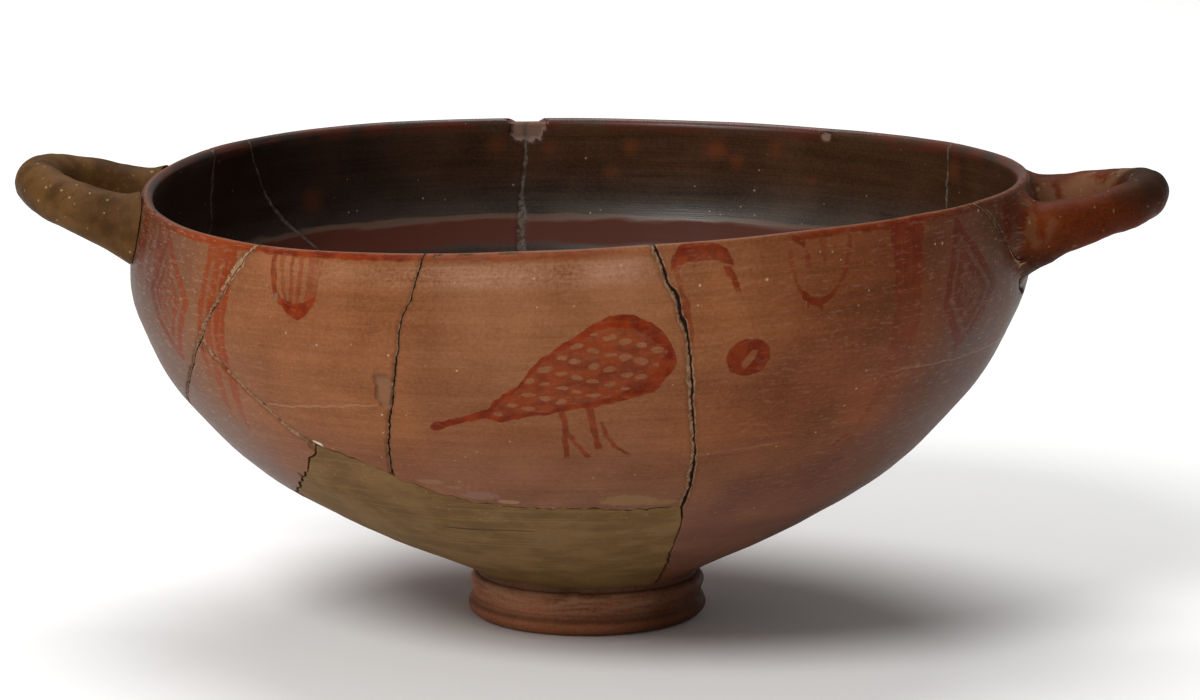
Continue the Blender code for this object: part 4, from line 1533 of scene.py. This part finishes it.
# %% [markdown]
# ## Worn slip
#
# The painted slip was thin, and two and a half thousand years have rubbed it. It breaks into flecks where
# the brush left little, and keeps a deeper red where it pooled.

# %% Group: worn slip


def worn_slip_group():
    """How much slip is left, from how much was painted."""
    tree, at, given, result = new_group(
        "worn slip", dict(Painted="value", Place="vector", Wear="value"), dict(Left="value"))
    flecks = at.noise(given["Place"], 1.1, 1.0, 0.7)
    rubbed = at.noise(given["Place"], (0.12, 0.12, 0.5), 1.0, 0.6)
    loss = at.scaled(flecks, 0.6, at.times(rubbed, 0.5))
    loss = at.times(at.less(loss, 0.42), given["Wear"])
    kept = at.share(at.less(given["Painted"], loss))
    at.feed(result["Left"], at.least(kept, at.step(given["Painted"], 0.02, 0.2)))
    return tree


WORN_SLIP = worn_slip_group()
print("group:", WORN_SLIP.name)

# %% [markdown]
# ## The finishes
#
# Each finish is a material with one Principled shader. The outside of the bowl is red clay under painted
# slip. The inside was dipped in dark slip, banded by the wheel and partly greyed by painted sheen, with a
# reddish ring low on the wall.

# %% Outside: clay, painted slip, painted shade and sheen, chips, scratches and joins
CREAM = srgb(164, 130, 100)
CREAM_DIRT = srgb(122, 86, 60)
GAP_DARK = srgb(30, 18, 11)
BARE_CLAY = srgb(128, 92, 68)
CLAY_LIGHT = srgb(148, 92, 56)
# Several tones below carry painted shade: the shaded ones, those of the low wall and those of the sides.
CLAY_LIGHT_SHADED = srgb(118, 60, 28)
CLAY_GREYED_AND_SHEEN = srgb(124, 86, 64)
CLAY_LIGHT_LOW_SHADE = srgb(122, 84, 68)
CLAY_DARK = srgb(112, 66, 38)
CLAY_DARK_SHADED = srgb(88, 44, 20)
CLAY_DARK_LOW_SHADE = srgb(92, 60, 48)
SHADED_EDGE_LIGHT = srgb(84, 52, 34)
SHADED_EDGE_DARK = srgb(58, 34, 21)
SLIP_THICK = srgb(96, 22, 2)
SLIP_THIN = srgb(122, 40, 6)
SLIP_SHADED = srgb(84, 24, 4)
SLIP_SHADED_EDGE = srgb(66, 16, 3)
SLIP_AT_LEFT = srgb(132, 50, 8)
SCUFF_AND_SHEEN = srgb(172, 134, 110)
WORN_LIP = srgb(116, 76, 56)
SCRATCHED = srgb(160, 126, 102)
# Each scratch runs from one bearing and length to another, and has a strength.
SCRATCHES = (
    (((-46.0, 97.4), (-25.0, 101.8)), 0.35), (((14.0, 85.0), (30.0, 87.6)), 0.15),
    (((42.0, 104.6), (80.0, 102.6)), 0.2),
)
# Each mark has a bearing, a height, a width and a height of its own in mm, a colour and a strength.
MARKS = (
    (8.4, 46.6, 14.0, 4.6, (132, 100, 64), 0.85), (13.6, 45.6, 9.0, 2.6, (132, 100, 64), 0.6),
    (-21.8, 51.4, 7.0, 2.0, (142, 108, 80), 0.5), (-18.4, 50.1, 4.0, 1.4, (142, 108, 80), 0.4),
    (-14.6, 47.9, 9.0, 3.4, (134, 104, 90), 0.5), (-10.4, 46.4, 6.0, 1.6, (162, 124, 92), 0.6),
    # The dark mark at the patch's edge is a painted shadow in a small hole.
    (-38.6, 58.9, 3.6, 3.6, (214, 196, 172), 1.0), (-48.6, 47.0, 2.4, 4.0, (40, 26, 18), 0.8),
    (-2.0, 43.7, 14.0, 0.9, (150, 116, 84), 0.45), (11.0, 43.4, 10.0, 0.9, (150, 116, 84), 0.4),
)
FIRED_GLOSS = 0.06
SLIP_GLOSS = 0.32


def new_material(name, gloss=FIRED_GLOSS):
    """A material with an empty shader, its recipe and its shader node."""
    material = bpy.data.materials.new(name)
    material.use_nodes = True
    shader = material.node_tree.nodes["Principled BSDF"]
    shader.inputs["Specular IOR Level"].default_value = gloss
    return material, Recipe(material.node_tree), shader


def bumped(at, shader, height, distance, strength=1.0):
    """Feed relief in millimetres to the shader."""
    bump = at.node("ShaderNodeBump", Height=height, Distance=distance * MM, Strength=strength)
    at.feed(shader.inputs["Normal"], bump.outputs[0])


def wall_here(at, wobble=0.0):
    """The place on the wall. With wobble, brushed edges waver by about that many millimetres."""
    found = at.place(WALL_PLACE)
    wall = {name: found[name] for name in ON_WALL}
    if not wobble:
        return wall
    shake = at.node("ShaderNodeTexNoise", Vector=wall["Place"], Scale=0.28, Detail=1.0, Roughness=0.6)
    parts = at.node("ShaderNodeSeparateColor", Color=shake.outputs["Color"]).outputs
    sideways = at.scaled(at.less(parts[0], 0.5), wobble * 1.1, wall["Bearing"])
    upward = at.scaled(at.less(parts[1], 0.5), wobble * 2.0, wall["Length"])
    return {**wall, "Bearing": sideways, "Length": upward}


def outside_clay():
    """Red clay with painted figures."""
    material, at, shader = new_material("painted red clay")
    wall = wall_here(at)
    shaken = wall_here(at, 0.75)
    # Greyer clay: the middle sherd's own tone, and at the far left partly painted sheen.
    grey_and_sheen = at.curve(wall["Bearing"], (
        (-180.0, 0.4), (-95.0, 0.9), (-62.0, 0.75), (-46.0, 0.15), (-22.0, 0.1), (-19.0, 0.5), (8.0, 0.4),
        (14.0, 0.1), (70.0, 0.0), (110.0, 0.3), (180.0, 0.4)), smooth=False)
    # Painted shade: the clay darkens towards the right, away from the key lamp, and turns a little more
    # orange there.
    shade = at.curve(wall["Bearing"], (
        (-180.0, 0.5), (-95.0, 0.0), (10.0, 0.1), (30.0, 0.75), (60.0, 1.0), (110.0, 0.8), (180.0, 0.5)))
    # Painted shade: the lower bowl, which faces down, is darker and duller.
    low = at.step(wall["Length"], 100.0, 56.0)
    light = at.blend(shade, CLAY_LIGHT, CLAY_LIGHT_SHADED)
    light = at.blend(grey_and_sheen, light, CLAY_GREYED_AND_SHEEN)
    light = at.tint(light, low, 0.6, CLAY_LIGHT_LOW_SHADE)
    dark = at.blend(shade, CLAY_DARK, CLAY_DARK_SHADED)
    dark = at.tint(dark, low, 0.7, CLAY_DARK_LOW_SHADE)
    # Painted shade: clay and slip darken towards both sides as seen from the front, where the wall turns
    # away.
    edge = at.curve(wall["Bearing"], (
        (-110.0, 0.3), (-90.0, 1.0), (-70.0, 0.8), (-50.0, 0.0), (46.0, 0.0), (56.0, 0.7), (75.0, 1.0),
        (95.0, 1.0), (130.0, 0.2)))
    light = at.tint(light, edge, 0.85, SHADED_EDGE_LIGHT)
    dark = at.tint(dark, edge, 0.8, SHADED_EDGE_DARK)
    clay = at.place(TURNED_CLAY, Place=wall["Place"], Light=light, Dark=dark, Streaks=1.0, Specks=1.0)
    bird = at.place(HATCHED_BIRD, **shaken)["Painted"]
    ornaments = at.place(ORNAMENTS, **shaken)["Painted"]
    # Painted highlight: a pale band of sheen just under the rim.
    sheen = at.times(at.step(wall["Length"], 130.5, 134.5), at.step(wall["Length"], 138.6, 136.5))
    sheen = at.times(sheen, at.curve(wall["Bearing"], (
        (-40.0, 0.0), (-24.0, 0.7), (-10.0, 1.0), (5.0, 0.9), (9.0, 0.2), (25.0, 0.0)), smooth=False))
    scuffs = at.noise(wall["Place"], (0.3, 0.3, 1.3), 2.0, 0.75)
    scuffed = at.curve(wall["Bearing"], (
        (-100.0, 0.8), (-60.0, 1.0), (-44.0, 0.5), (-30.0, 0.3), (20.0, 0.4), (50.0, 0.6), (90.0, 0.6),
        (180.0, 0.5)))
    scuffed = at.times(at.step(scuffs, 0.52, 0.72), scuffed)
    # Real scuffs and the painted sheen band both turn the colour pale.
    pale = at.scaled(scuffed, 0.3, at.times(sheen, at.times(clay["Wear"], 0.55)))
    rim_edge = at.times(at.step(shaken["Length"], 138.2, 139.0), at.step(shaken["Length"], 141.2, 140.6))
    rim_edge = at.times(rim_edge, at.curve(wall["Bearing"], (
        (-180.0, 0.5), (-90.0, 0.25), (-70.0, 0.5), (-58.0, 0.95), (-24.0, 1.0), (-19.0, 0.6), (2.0, 0.45),
        (8.0, 0.1), (24.0, 0.12), (29.0, 0.8), (48.0, 0.7), (62.0, 0.45), (90.0, 0.3), (180.0, 0.5)),
        smooth=False))
    painted = at.most(bird, ornaments, rim_edge)
    flecks = at.noise(wall["Place"], 0.8, 1.0, 0.6)
    slip = at.place(WORN_SLIP, Painted=painted, Place=wall["Place"], Wear=0.6)["Left"]
    pooled = at.noise(wall["Place"], 0.3, 1.0)
    slip_colour = at.blend(at.step(pooled, 0.35, 0.65), SLIP_THICK, SLIP_THIN)
    # Painted shade on the slip as well: darker to the right and at the sides.
    slip_colour = at.tint(slip_colour, shade, 0.55, SLIP_SHADED)
    slip_colour = at.tint(slip_colour, edge, 0.6, SLIP_SHADED_EDGE)
    thin = at.curve(wall["Bearing"], ((-66.0, 0.0), (-61.0, 0.6), (-47.0, 0.6), (-42.0, 0.0)))
    slip_colour = at.blend(thin, slip_colour, SLIP_AT_LEFT)
    colour = at.blend(at.times(slip, 0.97), clay["Colour"], slip_colour)
    colour = at.blend(pale, colour, SCUFF_AND_SHEEN)
    worn_lip = at.times(at.step(wall["Length"], 140.2, 141.0), at.step(pooled, 0.28, 0.5))
    colour = at.tint(colour, worn_lip, 0.6, WORN_LIP)
    for bearing, height, wide, tall, tint, strength in MARKS:
        here = figure_spot(at, wall, bearing, wall_length(height * MM) / MM)
        across = at.over(here["Across"], wide / 2)
        up = at.over(here["Up"], tall / 2)
        off = at.squares(across, up)
        mark = at.step(at.scaled(flecks, 1.6, off), 2.0, 1.5)
        colour = at.blend(at.times(mark, strength), colour, srgb(*tint))
    scratches = 0.0
    for ((b0, s0), (b1, s1)), strength in SCRATCHES:
        share = at.step(wall["Bearing"], b0, b1, soft=False)
        line = at.scaled(share, s1 - s0, s0)
        wavering = at.scaled(pooled, 1.4, at.less(wall["Length"], line))
        off = at.size(at.less(wavering, 0.7))
        inside = at.times(at.step(wall["Bearing"], b0, b0 + 2), at.step(wall["Bearing"], b1, b1 - 2))
        scratch = at.times(at.step(off, 0.45, 0.1), inside)
        scratches = at.most(scratches, at.times(scratch, strength))
    colour = at.blend(scratches, colour, SCRATCHED)
    bare = at.step(at.stored("bare_clay")["Fac"], 0.35, 0.65)
    colour = at.blend(at.times(bare, 0.8), colour, BARE_CLAY)
    joined = at.place(MENDED_JOIN, Under=colour, Filler=CREAM, Dirt=CREAM_DIRT, Gap=GAP_DARK,
                      Place=wall["Place"], Cover=0.8)
    at.feed(shader.inputs["Base Color"], joined["Colour"])
    gloss = at.scaled(clay["Wear"], 0.12, 0.36)
    gloss = at.scaled(slip, 0.06, gloss)
    rough = at.least(at.scaled(at.most(joined["Rough"], bare), 0.4, gloss), 1.0)
    at.feed(shader.inputs["Roughness"], rough)
    bumped(at, shader, clay["Relief"], 0.06)
    return material


# %% [markdown]
# The potter swirled dark slip round the inside, so its colour changes with the bearing and with the
# length down the wall, and its grey is partly painted sheen. Each spot has a bearing, a length, a size in
# millimetres and a strength.

# %% Inside: dark slip
INSIDE_DARK = srgb(16, 7, 3)
INSIDE_DARK_GREY_SHEEN = srgb(60, 52, 44)
INSIDE_LIGHT = srgb(36, 18, 8)
INSIDE_LIGHT_GREY_SHEEN = srgb(88, 78, 68)
BROWN_DARK = srgb(48, 28, 14)
BROWN_LIGHT = srgb(78, 48, 28)
RED_RING = srgb(84, 32, 14)
TAN_EDGE = srgb(120, 92, 76)
RED_LIP = srgb(84, 32, 12)
DULL_ORANGE = srgb(120, 56, 24)
INSIDE_BARE = srgb(128, 98, 84)
INSIDE_FILLER = srgb(112, 104, 92)
INSIDE_DIRT = srgb(80, 66, 52)
INSIDE_SPOTS = (
    (-167.5, 133.5, 3.2, 0.25), (-175.0, 132.5, 2.6, 0.3), (173.5, 133.0, 3.0, 0.5),
    (161.0, 133.6, 4.0, 0.55), (158.0, 130.0, 2.6, 0.4), (118.0, 134.0, 4.0, 0.35),
    (-139.0, 121.0, 5.0, 0.3), (146.0, 126.0, 2.0, 0.3), (176.0, 126.0, 2.6, 0.3), (152.0, 134.5, 3.0, 0.35),
)


def inside_slip():
    """Dark slip, in bands from the wheel and partly greyed by painted sheen, with a reddish ring and dull
    orange spots.
    """
    material, at, shader = new_material("dark inside slip", SLIP_GLOSS)
    wall = wall_here(at)
    turned_bearing = at.sum("WRAP", wall["Bearing"], 360.0, 0.0)
    # The slip turns grey in bands over the back wall; this grey is partly painted sheen.
    across = at.curve(turned_bearing, (
        (0.0, 0.5), (95.0, 0.25), (119.0, 0.35), (120.0, 0.75), (150.0, 0.8), (185.0, 0.6), (215.0, 0.2),
        (230.0, 0.1), (241.0, 0.0), (243.0, 0.3), (270.0, 0.35), (360.0, 0.5)), smooth=False)
    band = at.curve(wall["Length"], ((60.0, 0.3), (90.0, 0.5), (112.5, 0.8), (120.0, 0.75), (127.0, 0.35),
                                     (135.0, 0.3), (137.0, 0.7), (141.0, 0.75)))
    grey_and_sheen = at.times(across, band)
    dark = at.blend(grey_and_sheen, INSIDE_DARK, INSIDE_DARK_GREY_SHEEN)
    light = at.blend(grey_and_sheen, INSIDE_LIGHT, INSIDE_LIGHT_GREY_SHEEN)
    brown = at.curve(turned_bearing, (
        (0.0, 0.5), (95.0, 0.9), (150.0, 1.0), (190.0, 0.8), (215.0, 0.3), (235.0, 0.1), (360.0, 0.5)))
    brown = at.times(brown, at.curve(wall["Length"], (
        (60.0, 0.2), (112.0, 0.1), (120.0, 0.4), (127.0, 0.9), (141.0, 1.0))))
    dark = at.blend(brown, dark, BROWN_DARK)
    light = at.blend(brown, light, BROWN_LIGHT)
    slip = at.place(TURNED_CLAY, Place=wall["Place"], Light=light, Dark=dark, Streaks=1.2, Specks=0.8)
    colour = slip["Colour"]
    uneven = at.noise(wall["Place"], (0.08, 0.08, 0.3), 1.0)
    edge = at.scaled(uneven, 3.0, wall["Length"])
    ring = at.times(at.step(edge, 104.0, 107.0), at.step(edge, 113.6, 112.8))
    colour = at.tint(colour, ring, 0.8, RED_RING)
    tan_edge = at.times(at.step(edge, 112.2, 113.2), at.step(edge, 114.8, 114.0))
    colour = at.tint(colour, tan_edge, 0.45, TAN_EDGE)
    lip_red = at.times(at.step(wall["Length"], 136.5, 139.0), at.step(uneven, 0.38, 0.6))
    colour = at.tint(colour, lip_red, 0.8, RED_LIP)
    for bearing, length, size, strength in INSIDE_SPOTS:
        here = at.place(SPOT, Bearing=turned_bearing, Radius=wall["Radius"], Length=wall["Length"],
                        Middle_bearing=bearing % 360, Middle_length=length)
        off = at.squares(here["Across"], here["Up"])
        ragged_off = at.scaled(uneven, 3.0, at.sum("SQRT", off))
        spot = at.times(at.step(ragged_off, size * 1.2 + 1.6, 1.2), strength)
        colour = at.blend(spot, colour, DULL_ORANGE)
    bare = at.step(at.stored("bare_clay")["Fac"], 0.3, 0.6)
    colour = at.tint(colour, bare, 0.9, INSIDE_BARE)
    joined = at.place(MENDED_JOIN, Under=colour, Filler=INSIDE_FILLER, Dirt=INSIDE_DIRT,
                      Gap=GAP_DARK, Place=wall["Place"], Cover=0.65)
    at.feed(shader.inputs["Base Color"], joined["Colour"])
    gloss = at.scaled(slip["Wear"], 0.14, at.scaled(ring, 0.4, 0.30))
    rough = at.least(at.scaled(at.most(joined["Rough"], bare), 0.4, gloss), 1.0)
    at.feed(shader.inputs["Roughness"], rough)
    bumped(at, shader, slip["Relief"], 0.05)
    return material


# %% [markdown]
# The foot's clay is browner than the bowl's, with traces of slip low down. The ancient handle wears the
# same slip as the figures, but it was gripped more than anything else on the cup. It isn't part of the
# turned wall, so its finish is laid out by the place in space.

# %% Foot and ancient handle
FOOT_LIGHT = srgb(196, 132, 98)
FOOT_DARK = srgb(134, 82, 56)
FOOT_RUBBED = srgb(186, 146, 116)
FOOT_SLIP = srgb(140, 74, 36)
FOOT_CREVICE_SHADE = srgb(44, 28, 20)
FOOT_SHADED = srgb(62, 34, 20)
HANDLE_LIGHT = srgb(100, 40, 6)
HANDLE_DARK = srgb(58, 20, 3)
HANDLE_TOP_TONE_AND_SHADE = srgb(36, 25, 12)
HANDLE_UNDER_SHADE = srgb(30, 10, 2)
HANDLE_SMEAR = srgb(112, 84, 58)
HANDLE_WORN = srgb(118, 86, 62)
HANDLE_FLECK = srgb(140, 112, 84)


def foot_clay():
    """Browner clay, rubbed along the roll, with painted shade in the crevice, under the bowl and towards the
    right.
    """
    material, at, shader = new_material("foot clay")
    wall = wall_here(at)
    clay = at.place(TURNED_CLAY, Place=wall["Place"], Light=FOOT_LIGHT, Dark=FOOT_DARK,
                    Streaks=0.9, Specks=0.9)
    rubbed = at.noise(wall["Place"], (0.12, 0.12, 0.9), 2.0)
    paler = at.curve(wall["Length"], ((-13.0, 0.1), (-8.0, 0.15), (-5.0, 0.6), (-1.5, 0.75), (-0.2, 0.3)))
    paler = at.times(paler, at.step(rubbed, 0.42, 0.62))
    colour = at.tint(clay["Colour"], paler, 0.6, FOOT_RUBBED)
    slip = at.place(WORN_SLIP, Painted=at.curve(wall["Length"], ((-16.0, 0.9), (-9.0, 0.7), (-7.0, 0.1))),
                    Place=wall["Place"], Wear=1.4)["Left"]
    colour = at.tint(colour, slip, 0.5, FOOT_SLIP)
    # Painted shade in the crevice of the foot and where the foot meets the bowl's underside.
    crevice = at.curve(wall["Length"], (
        (-9.0, 0.0), (-8.0, 0.8), (-7.2, 0.0), (-1.6, 0.0), (-0.4, 0.9), (0.0, 1.0)))
    colour = at.tint(colour, crevice, 0.6, FOOT_CREVICE_SHADE)
    # Painted shade: the foot darkens towards the right, away from the key lamp.
    painted_side_shade = at.curve(wall["Bearing"], ((-90.0, 0.0), (0.0, 0.1), (50.0, 0.75), (90.0, 0.85), (180.0, 0.3)))
    at.feed(shader.inputs["Base Color"], at.blend(painted_side_shade, colour, FOOT_SHADED))
    at.feed(shader.inputs["Roughness"], at.scaled(rubbed, 0.2, 0.45))
    bumped(at, shader, clay["Relief"], 0.08)
    return material


def handle_slip():
    """Red-brown slip, olive and darker along the top of the bend partly by painted shade, with painted shade
    underneath, and worn to tan inside the loop.
    """
    material, at, shader = new_material("ancient handle slip")
    place = at.in_millimetres()
    clay = at.place(TURNED_CLAY, Place=place, Light=HANDLE_LIGHT, Dark=HANDLE_DARK,
                    Streaks=0.5, Specks=0.8)
    parts = at.node("ShaderNodeSeparateXYZ", Vector=place).outputs
    clouds = at.noise(place, 0.16, 3.0)
    out = at.scaled(clouds, 14.0, parts[0])
    # The top of the bend is olive and darker: partly its own tone, partly painted shade against the lamps'
    # sheen.
    top = at.times(at.step(out, 128.0, 146.0), at.step(parts[2], 104.0, 112.0))
    colour = at.tint(clay["Colour"], top, 0.85, HANDLE_TOP_TONE_AND_SHADE)
    # Painted shade under the handle.
    under = at.step(parts[2], 101.0, 92.0)
    colour = at.tint(colour, under, 0.85, HANDLE_UNDER_SHADE)
    smear = at.times(at.step(parts[0], 118.0, 111.0), at.step(clouds, 0.46, 0.60))
    colour = at.tint(colour, smear, 0.3, HANDLE_SMEAR)
    inner_face = at.times(at.step(parts[1], -4.0, 0.0), at.step(parts[1], 9.0, 5.0))
    worn = at.times(inner_face, at.step(clouds, 0.40, 0.52))
    colour = at.tint(colour, worn, 0.6, HANDLE_WORN)
    pale = at.times(at.step(at.noise(place, 0.35, 2.0), 0.66, 0.72), 0.5)
    colour = at.blend(pale, colour, HANDLE_FLECK)
    at.feed(shader.inputs["Base Color"], colour)
    at.feed(shader.inputs["Roughness"], at.scaled(clouds, 0.25, 0.45))
    bumped(at, shader, clay["Relief"], 0.10)
    return material


# %% [markdown]
# ## Toned plaster
#
# The restorer's plaster is matt, olive brown, and stippled with paler and darker specks where the toning
# was dabbed on. The patch and the casting share the same group, each with its own colours.

# %% Group: toned plaster
PLASTER_SPECK = srgb(176, 150, 112)
DARK_BUBBLE = srgb(40, 32, 20)


def plaster_group():
    """Colour and relief of dabbed plaster, with bubbles and pale specks."""
    tree, at, given, result = new_group(
        "toned plaster", dict(Place="vector", Light="colour", Dark="colour", Warm="colour", Specks="value"),
        dict(Colour="colour", Relief="value"))
    place = given["Place"]
    clouds = at.noise(place, 0.09, 2.0, 0.6)
    dabs = at.noise(place, 0.7, 2.0, 0.7)
    colour = at.blend(at.step(clouds, 0.35, 0.65), given["Dark"], given["Light"])
    colour = at.blend(at.times(at.step(dabs, 0.50, 0.70), 0.35), colour, given["Warm"])
    colour = at.blend(at.times(at.step(dabs, 0.46, 0.30), 0.5), colour, given["Dark"])
    spots = at.cells(place, 0.36)
    size = at.times(at.noise(place, 0.5, 0.0), 0.32)
    pale = at.times(at.step(spots, size, 0.02), given["Specks"])
    colour = at.blend(pale, colour, PLASTER_SPECK)
    bubbles = at.cells(place, 0.5)
    bubble = at.times(at.step(bubbles, 0.14, 0.05), at.step(clouds, 0.5, 0.56))
    colour = at.tint(colour, bubble, 0.6, DARK_BUBBLE)
    at.feed(result["Colour"], colour)
    at.feed(result["Relief"], at.scaled(bubble, -0.8, dabs))
    return tree


TONED_PLASTER = plaster_group()
SCRATCH_HEIGHT = 36.5 * MM
DRAG_MARK = srgb(138, 112, 70)
DARK_SCRATCH = srgb(46, 32, 20)
PATCH_TONES = dict(Light=srgb(122, 93, 57), Dark=srgb(104, 77, 45), Warm=srgb(130, 92, 54))
CASTING_TONES = dict(Light=srgb(94, 65, 33), Dark=srgb(66, 43, 19), Warm=srgb(104, 63, 30))
PATCH_SCRATCH = ((-25.5, 0.0), (-24.5, 0.8), (-19.0, 0.9), (-17.0, 0.5), (-9.0, 0.6), (-7.0, 0.0))


def patch_plaster():
    """The patch, with faint drag marks along the wall and a dark scratch."""
    material, at, shader = new_material("patch plaster")
    wall = wall_here(at)
    plaster = at.place(TONED_PLASTER, Place=wall["Place"], **PATCH_TONES, Specks=0.3)
    marks = at.noise(wall["Place"], (0.03, 0.03, 0.9), 3.0, 0.6)
    colour = at.tint(plaster["Colour"], at.step(marks, 0.5, 0.66), 0.35, DRAG_MARK)
    level = at.scaled(marks, 2.0, wall_length(SCRATCH_HEIGHT) / MM - 1.0)
    off = at.size(at.less(wall["Length"], level))
    along = at.curve(wall["Bearing"], PATCH_SCRATCH, smooth=False)
    colour = at.tint(colour, at.step(off, 0.5, 0.2), along, DARK_SCRATCH)
    at.feed(shader.inputs["Base Color"], colour)
    at.feed(shader.inputs["Roughness"], at.scaled(marks, 0.2, 0.52))
    bumped(at, shader, at.plus(plaster["Relief"], marks), 0.10)
    return material


def casting_plaster():
    """The restored handle: darker than the patch, with more pale specks."""
    material, at, shader = new_material("casting plaster")
    place = at.in_millimetres()
    plaster = at.place(TONED_PLASTER, Place=place, **CASTING_TONES, Specks=0.6)
    at.feed(shader.inputs["Base Color"], plaster["Colour"])
    at.feed(shader.inputs["Roughness"], at.scaled(plaster["Relief"], 0.2, 0.5))
    bumped(at, shader, plaster["Relief"], 0.12)
    return material


# %% [markdown]
# ## Dressing the pieces
#
# The cup has four finishes, in the order in which its faces were numbered: outside, inside, foot and
# handle. The patch and the casting have one each.

# %% Give every piece its finish


def dress(piece, finishes):
    """Put the finishes in the piece's slots. Clearing slots loses the faces' choice, so it is kept."""
    chosen = np.empty(len(piece.data.polygons), np.int32)
    piece.data.polygons.foreach_get("material_index", chosen)
    piece.data.materials.clear()
    for finish in finishes:
        piece.data.materials.append(finish)
    piece.data.polygons.foreach_set("material_index", chosen)
    print(piece.name, "wears", [finish.name for finish in finishes], "on", np.bincount(chosen), "faces")


dress(cup, (outside_clay(), inside_slip(), foot_clay(), handle_slip()))
dress(patch, (patch_plaster(),))
dress(restored, (casting_plaster(),))

# %% [markdown]
# Every dressed piece takes the place of one solid, and rides on the one body that there is.

# %% Fasten the pieces to the frame
for piece, node, slot in ((cup, "cup", "painted_clay"), (patch, "wall_infill", "toned_plaster"),
                          (restored, "restored_handle", "handle_plaster")):
    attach(piece, "root")
    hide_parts(node)

# %% [markdown]
# ## Looking at it
#
# The camera stands a metre and a half away, higher than the rim, and looks down slightly. A long lens
# keeps the foot and the rim nearly free of perspective, as a photographer of pots would want.

# %% Camera
EYE = (0.00327, -1.5, 0.3493)
LOOK_DOWN = 0.1861
FOCAL_LENGTH = 183.5
SENSOR_WIDTH = 36.0
camera = bpy.data.objects.new("camera", bpy.data.cameras.new("camera"))
bpy.context.scene.collection.objects.link(camera)
camera.location = EYE
camera.rotation_euler = (math.pi / 2 - LOOK_DOWN, 0.0, 0.0)
camera.data.lens = FOCAL_LENGTH
camera.data.sensor_width = SENSOR_WIDTH
bpy.context.scene.camera = camera

# %% [markdown]
# The floor is a stage and not a part. A large soft lamp at the upper left draws out the form. A second
# one, above and behind, keeps the floor bright, and a dim even light from all round opens the shadows.

# %% Floor and light
FLOOR_HALF = 6
SKY_STRENGTH = 0.25
LAMPS = (
    ("key light", (-0.9, -1.3, 1.45), (0, 0, 0.06), 0.9, 31),
    ("overhead light", (-0.1, 0.9, 1.9), (0, 0.5, 0.0), 1.6, 32),
)
floor_mesh = bpy.data.meshes.new("floor")
floor_corners = [(x * FLOOR_HALF, y * FLOOR_HALF, 0) for x, y in ((-1, -1), (1, -1), (1, 1), (-1, 1))]
floor_mesh.from_pydata(floor_corners, [], [(0, 1, 2, 3)])
floor = place(floor_mesh)
floor_finish, _, floor_shader = new_material("pale floor")
floor_shader.inputs["Base Color"].default_value = (0.93, 0.93, 0.925, 1.0)
floor_shader.inputs["Roughness"].default_value = 0.9
floor.data.materials.append(floor_finish)
world = bpy.data.worlds.new("studio")
world.use_nodes = True
background = world.node_tree.nodes["Background"]
background.inputs["Color"].default_value = (1, 1, 1, 1)
background.inputs["Strength"].default_value = SKY_STRENGTH
bpy.context.scene.world = world
bpy.context.scene.view_settings.view_transform = "Standard"


def lamp(name, place_at, aim, size, power):
    """A round lamp, sizes in metres and power in watts."""
    data = bpy.data.lights.new(name, "AREA")
    data.shape = "DISK"
    data.size = size
    data.energy = power
    thing = bpy.data.objects.new(name, data)
    bpy.context.scene.collection.objects.link(thing)
    thing.location = place_at
    thing.rotation_euler = (Vector(aim) - Vector(place_at)).to_track_quat("-Z", "Y").to_euler()


for settings in LAMPS:
    lamp(*settings)

# %% [markdown]
# At last the scene is brought up to date.

# %% The end
bpy.context.view_layer.update()
